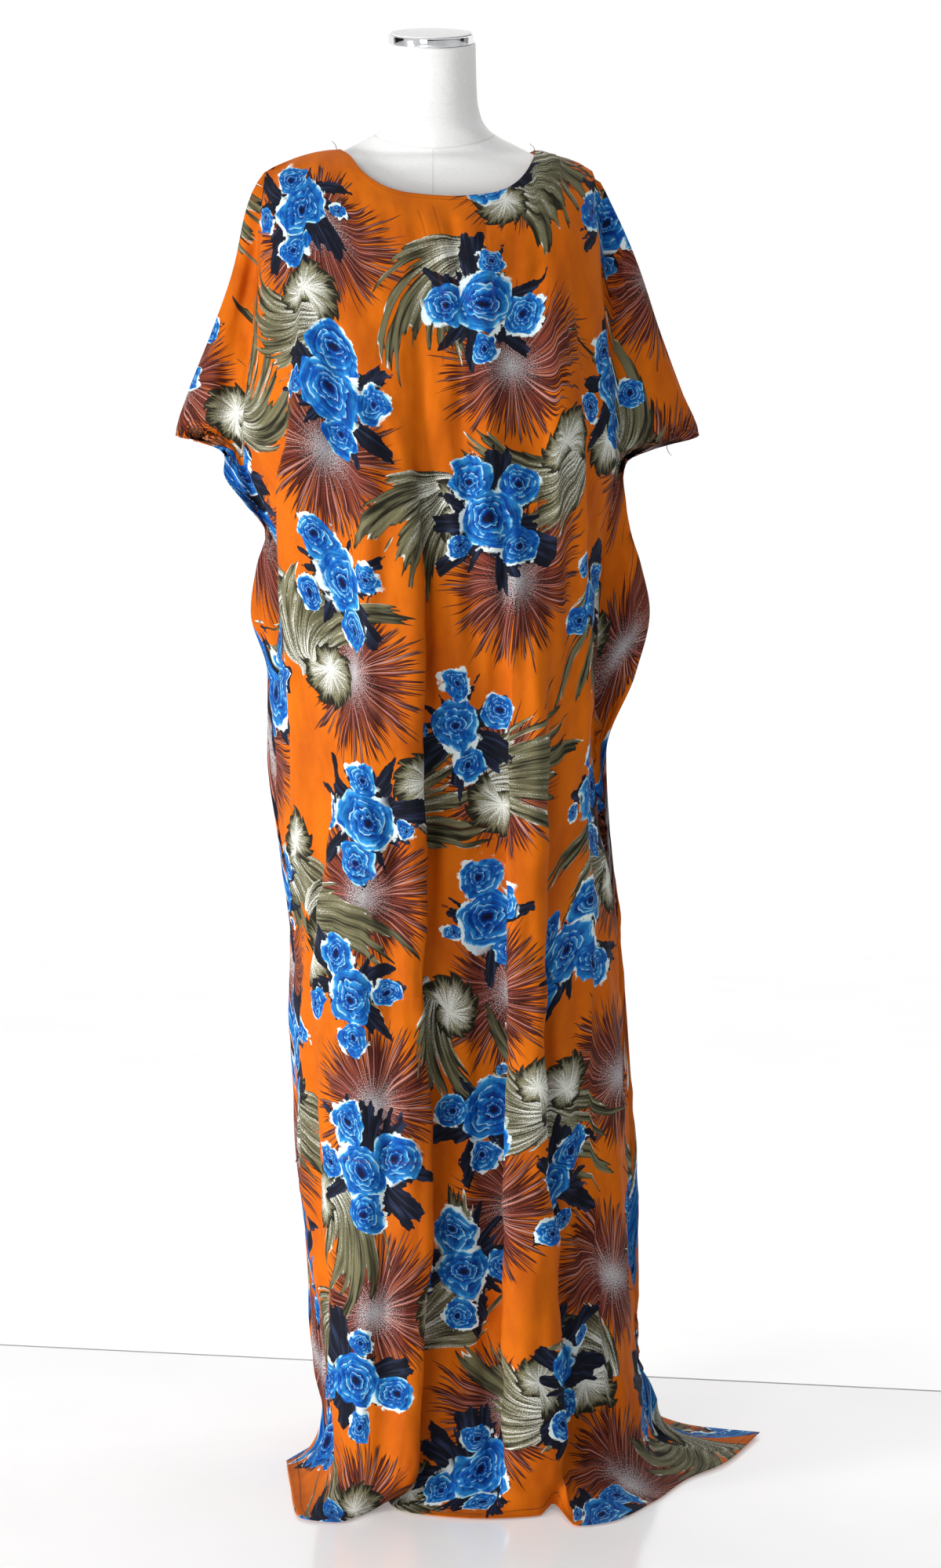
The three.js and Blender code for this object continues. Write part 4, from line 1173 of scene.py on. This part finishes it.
def rounded_disc(radius, low, high, edge, steps=5):
    """The profile of a disc whose rim is rounded at both edges."""
    profile = [(0.0, low), (radius * 0.6, low)]
    for k in range(steps + 1):
        a = math.pi / 2 * k / steps
        profile.append((radius - edge + edge * math.sin(a), low + edge - edge * math.cos(a)))
    for k in range(steps + 1):
        a = math.pi / 2 * k / steps
        profile.append((radius - edge + edge * math.cos(a), high - edge + edge * math.sin(a)))
    return profile + [(radius * 0.6, high), (0.0, high)]


print("turned pieces have", TURNED_SIDES, "sides")

# %% The cap, the pole and the base
CAP_RADIUS, CAP_RIM_HEIGHT, CAP_TOP_THICKNESS = 0.0508, 0.0105, 0.0016
CAP_X, SEAT = -0.004, 0.0003
CAP_DOME = ((0.034, 0.0028), (0.018, 0.0037), (0.0, 0.004))
POLE_RADIUS, BASE_RADIUS, BASE_HEIGHT = 0.014, 0.116, 0.013

lean = Matrix.Translation((CAP_X, 0, TORSO[-1]["z"] * MM + SEAT)) @ Matrix.Rotation(NECK_TILT, 4, "X")
upright = Matrix.Identity(4)
CAP_LINEN, CHROME, STEEL = linen(False), chrome(), painted_steel()
rim_profile = rounded_disc(CAP_RADIUS, 0, CAP_RIM_HEIGHT, 0.0012)
top_low = CAP_RIM_HEIGHT + SEAT
top_profile = rounded_disc(CAP_RADIUS - 0.0024, top_low, top_low + CAP_TOP_THICKNESS, 0.0006)
top_profile[-2:] = [(radius, top_low + rise) for radius, rise in CAP_DOME]
base_profile = rounded_disc(BASE_RADIUS, 0, BASE_HEIGHT, 0.003)
pole_profile = rounded_disc(POLE_RADIUS, BASE_HEIGHT + SEAT, TORSO[0]["z"] * MM - SEAT, 0.0005)
turned_pieces = [
    ("cap_rim", rim_profile, lean, CHROME, "neck_cap_rim", "chrome_rim"),
    ("cap_linen_top", top_profile, lean, CAP_LINEN, "neck_cap_top", "form_linen"),
    ("base_plate", base_profile, upright, STEEL, "stand_base", "white_steel"),
    ("pole_tube", pole_profile, upright, STEEL, "stand_pole", "white_steel"),
]
for name, profile, matrix, material, node, slot in turned_pieces:
    piece = spun(name, profile, matrix, material)
    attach(piece, "root")
    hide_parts(node)
    print(name, "stands for", node)

# %% [markdown]
# ## Loose threads
# Home-sewn seams end in short tails of thread. One stands at each neck point, and a longer one hangs
# from the right sleeve's hem. Each is a thin tube through a few points, small enough to need no more.

# %% Thread tails
THREAD_RADIUS = 0.0004
THREAD_TAILS = {
    "neck_thread_left": [
        (-0.1165, -0.002, 1.6008), (-0.118, -0.004, 1.607),
        (-0.1205, -0.005, 1.611), (-0.1225, -0.004, 1.6125),
    ],
    "neck_thread_right": [
        (0.1205, -0.002, 1.6), (0.1185, -0.004, 1.6055), (0.1155, -0.005, 1.6075), (0.114, -0.004, 1.6095),
    ],
    "sleeve_thread": [
        (0.2845, -0.0155, 1.2385), (0.2815, -0.015, 1.2415),
        (0.2795, -0.014, 1.246), (0.2785, -0.012, 1.2512),
    ],
}


def dark_thread():
    f = Finish("dark_thread")
    x, y, z = f.parts(f.place())
    twist = f.noise(f.vector(x * 3000, y * 3000, z * 5000), scale=1, detail=1)
    colour = f.mix(twist.edge(0.4, 0.6), ink(40, 26, 22), ink(96, 60, 44))
    return f.surface({"Base Color": colour, "Roughness": 0.8}, bump=twist, strength=0.4, distance=0.0002)


def ring_round(place, radius, sides=8):
    """A level ring, because every tail here stands or hangs steeply."""
    turns = [math.tau * i / sides for i in range(sides)]
    return [Vector(place) + Vector((radius * math.cos(a), radius * math.sin(a), 0)) for a in turns]


DARK_THREAD = dark_thread()
for name, places in THREAD_TAILS.items():
    tail = build_tube(name, [ring_round(place, THREAD_RADIUS) for place in places], DARK_THREAD)
    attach(tail, "root")
print(len(THREAD_TAILS), "thread tails")

# %% [markdown]
# The area is an estimate, that rectangle less the neck scoop and the wedges under the sleeves.

# %% [markdown]
# ## Floor and light
# Studio cloth is lit by one large soft light from the left and filled from beside the camera, so the
# folds read by their shadows and no hard edge falls on the floor. The dress stands on a pale glossy
# platform, and behind it a bright wall stands far enough off to leave the back in view too.

# %% Floor, world and lights
def pale_floor(glow):
    """A glossy white sheet, lit a little from below as in a light table so that it stays white."""
    f = Finish("pale_floor")
    place = f.place()
    wear = f.noise(place, scale=2.5, detail=4)
    colour = f.mix(wear.edge(0.35, 0.7), ink(240, 240, 240), ink(248, 248, 248))
    settings = {"Base Color": colour, "Roughness": 0.1 + wear * 0.06, "Specular IOR Level": 0.5}
    settings.update({"Emission Color": (1, 1, 1, 1), "Emission Strength": glow})
    return f.surface(settings)


def grey_edge():
    f = Finish("platform_edge")
    dust = f.noise(f.place(), scale=40, detail=3)
    grey = f.mix(dust, ink(150, 152, 154), ink(190, 192, 194))
    return f.surface({"Base Color": grey, "Roughness": 0.6})


def bright_backdrop():
    f = Finish("bright_backdrop")
    glow = f.wire("ShaderNodeEmission", None, {0: (1, 1, 1, 1), 1: 1.0})
    f.node("ShaderNodeOutputMaterial", None, {"Surface": glow})
    return f.material


def flat_sheet(name, corners, material):
    sheet = bmesh.new()
    bmesh.ops.create_grid(sheet, x_segments=1, y_segments=1, size=0.5)
    for vert, corner in zip(sorted(sheet.verts, key=lambda v: (v.co.y, v.co.x)), corners):
        vert.co = corner
    piece = new_piece(name, sheet, material)
    return piece


PLATFORM_FRONT, PLATFORM_BACK = ((-4, -5.5), (4, -5.5)), ((-4, 1.2), (4, -0.33))
EDGE_WIDTH, FLOOR_LOW = 0.006, -0.012
ROOM_SIDES, ROOM_FRONT, ROOM_BACK = (-21, 21), -9, 13
WALL_ENDS = (-7, 16.5)
platform_corners = [(x, y, 0) for x, y in PLATFORM_FRONT + PLATFORM_BACK]
floor_corners = [(x, y, FLOOR_LOW) for y in (ROOM_FRONT, ROOM_BACK) for x in ROOM_SIDES]
edge_corners = [(x, y + wide, 0) for wide in (0, EDGE_WIDTH) for x, y in PLATFORM_BACK]
wall_corners = [(x, ROOM_BACK, z) for z in WALL_ENDS for x in ROOM_SIDES]
flat_sheet("platform", platform_corners, pale_floor(0.22))
flat_sheet("floor", floor_corners, pale_floor(0.3))
flat_sheet("platform_edge", edge_corners, grey_edge())
flat_sheet("backdrop", wall_corners, bright_backdrop())


def soft_light(name, place, target, size, power, colour):
    light = bpy.data.lights.new(name, "AREA")
    light.shape, light.size, light.size_y = "RECTANGLE", size[0], size[1]
    light.energy, light.color = power, colour
    lamp = bpy.data.objects.new(name, light)
    lamp.location = place
    lamp.rotation_euler = (Vector(target) - Vector(place)).to_track_quat("-Z", "Y").to_euler()
    bpy.context.scene.collection.objects.link(lamp)
    return lamp


soft_light("key_light", (-3.0, -1.8, 0.6), (0, 0, 0.45), (0.8, 1.1), 92, (1, 0.985, 0.965))
soft_light("fill_light", (-1.5, -4.2, 1.3), (0, 0, 0.7), (1.4, 2.0), 45, (0.97, 0.985, 1))
soft_light("floor_light", (0.4, 0.6, 3.4), (0.1, 0.4, 0), (2.6, 2.6), 30, (1, 1, 1))


STUDIO_STRENGTH = 0.64


def studio():
    """Pale walls with dark gaps between them, which only the polished rim shows as bands."""
    f = Finish("studio", "worlds")
    x, y, _ = f.parts(f.wire("ShaderNodeTexCoord", output=0))
    turn = x.maths("ARCTAN2", 0.0 - y) / math.tau + 0.5
    stops = [(0.0, (0.5,) * 3), (0.18, (0.02,) * 3), (0.28, (0.95,) * 3), (0.445, (0.02,) * 3)]
    stops += [(0.52, (0.2,) * 3), (0.6, (0.45,) * 3), (0.74, (0.02,) * 3), (0.78, (0.5,) * 3)]
    walls = f.wire("ShaderNodeValToRGB", {"stops": stops}, {0: turn})
    walls.socket.node.color_ramp.interpolation = "CONSTANT"
    light = f.wire("ShaderNodeBackground", None, {0: walls, 1: STUDIO_STRENGTH})
    plain = f.wire("ShaderNodeBackground", None, {0: (1, 1, 1, 1), 1: 1.0})
    seen = f.wire("ShaderNodeLightPath", output="Is Camera Ray")
    both = f.wire("ShaderNodeMixShader", None, {0: seen, 1: light, 2: plain})
    f.node("ShaderNodeOutputWorld", None, {"Surface": both})
    return f.material


bpy.context.scene.world = studio()
bpy.context.scene.view_settings.view_transform = "Standard"
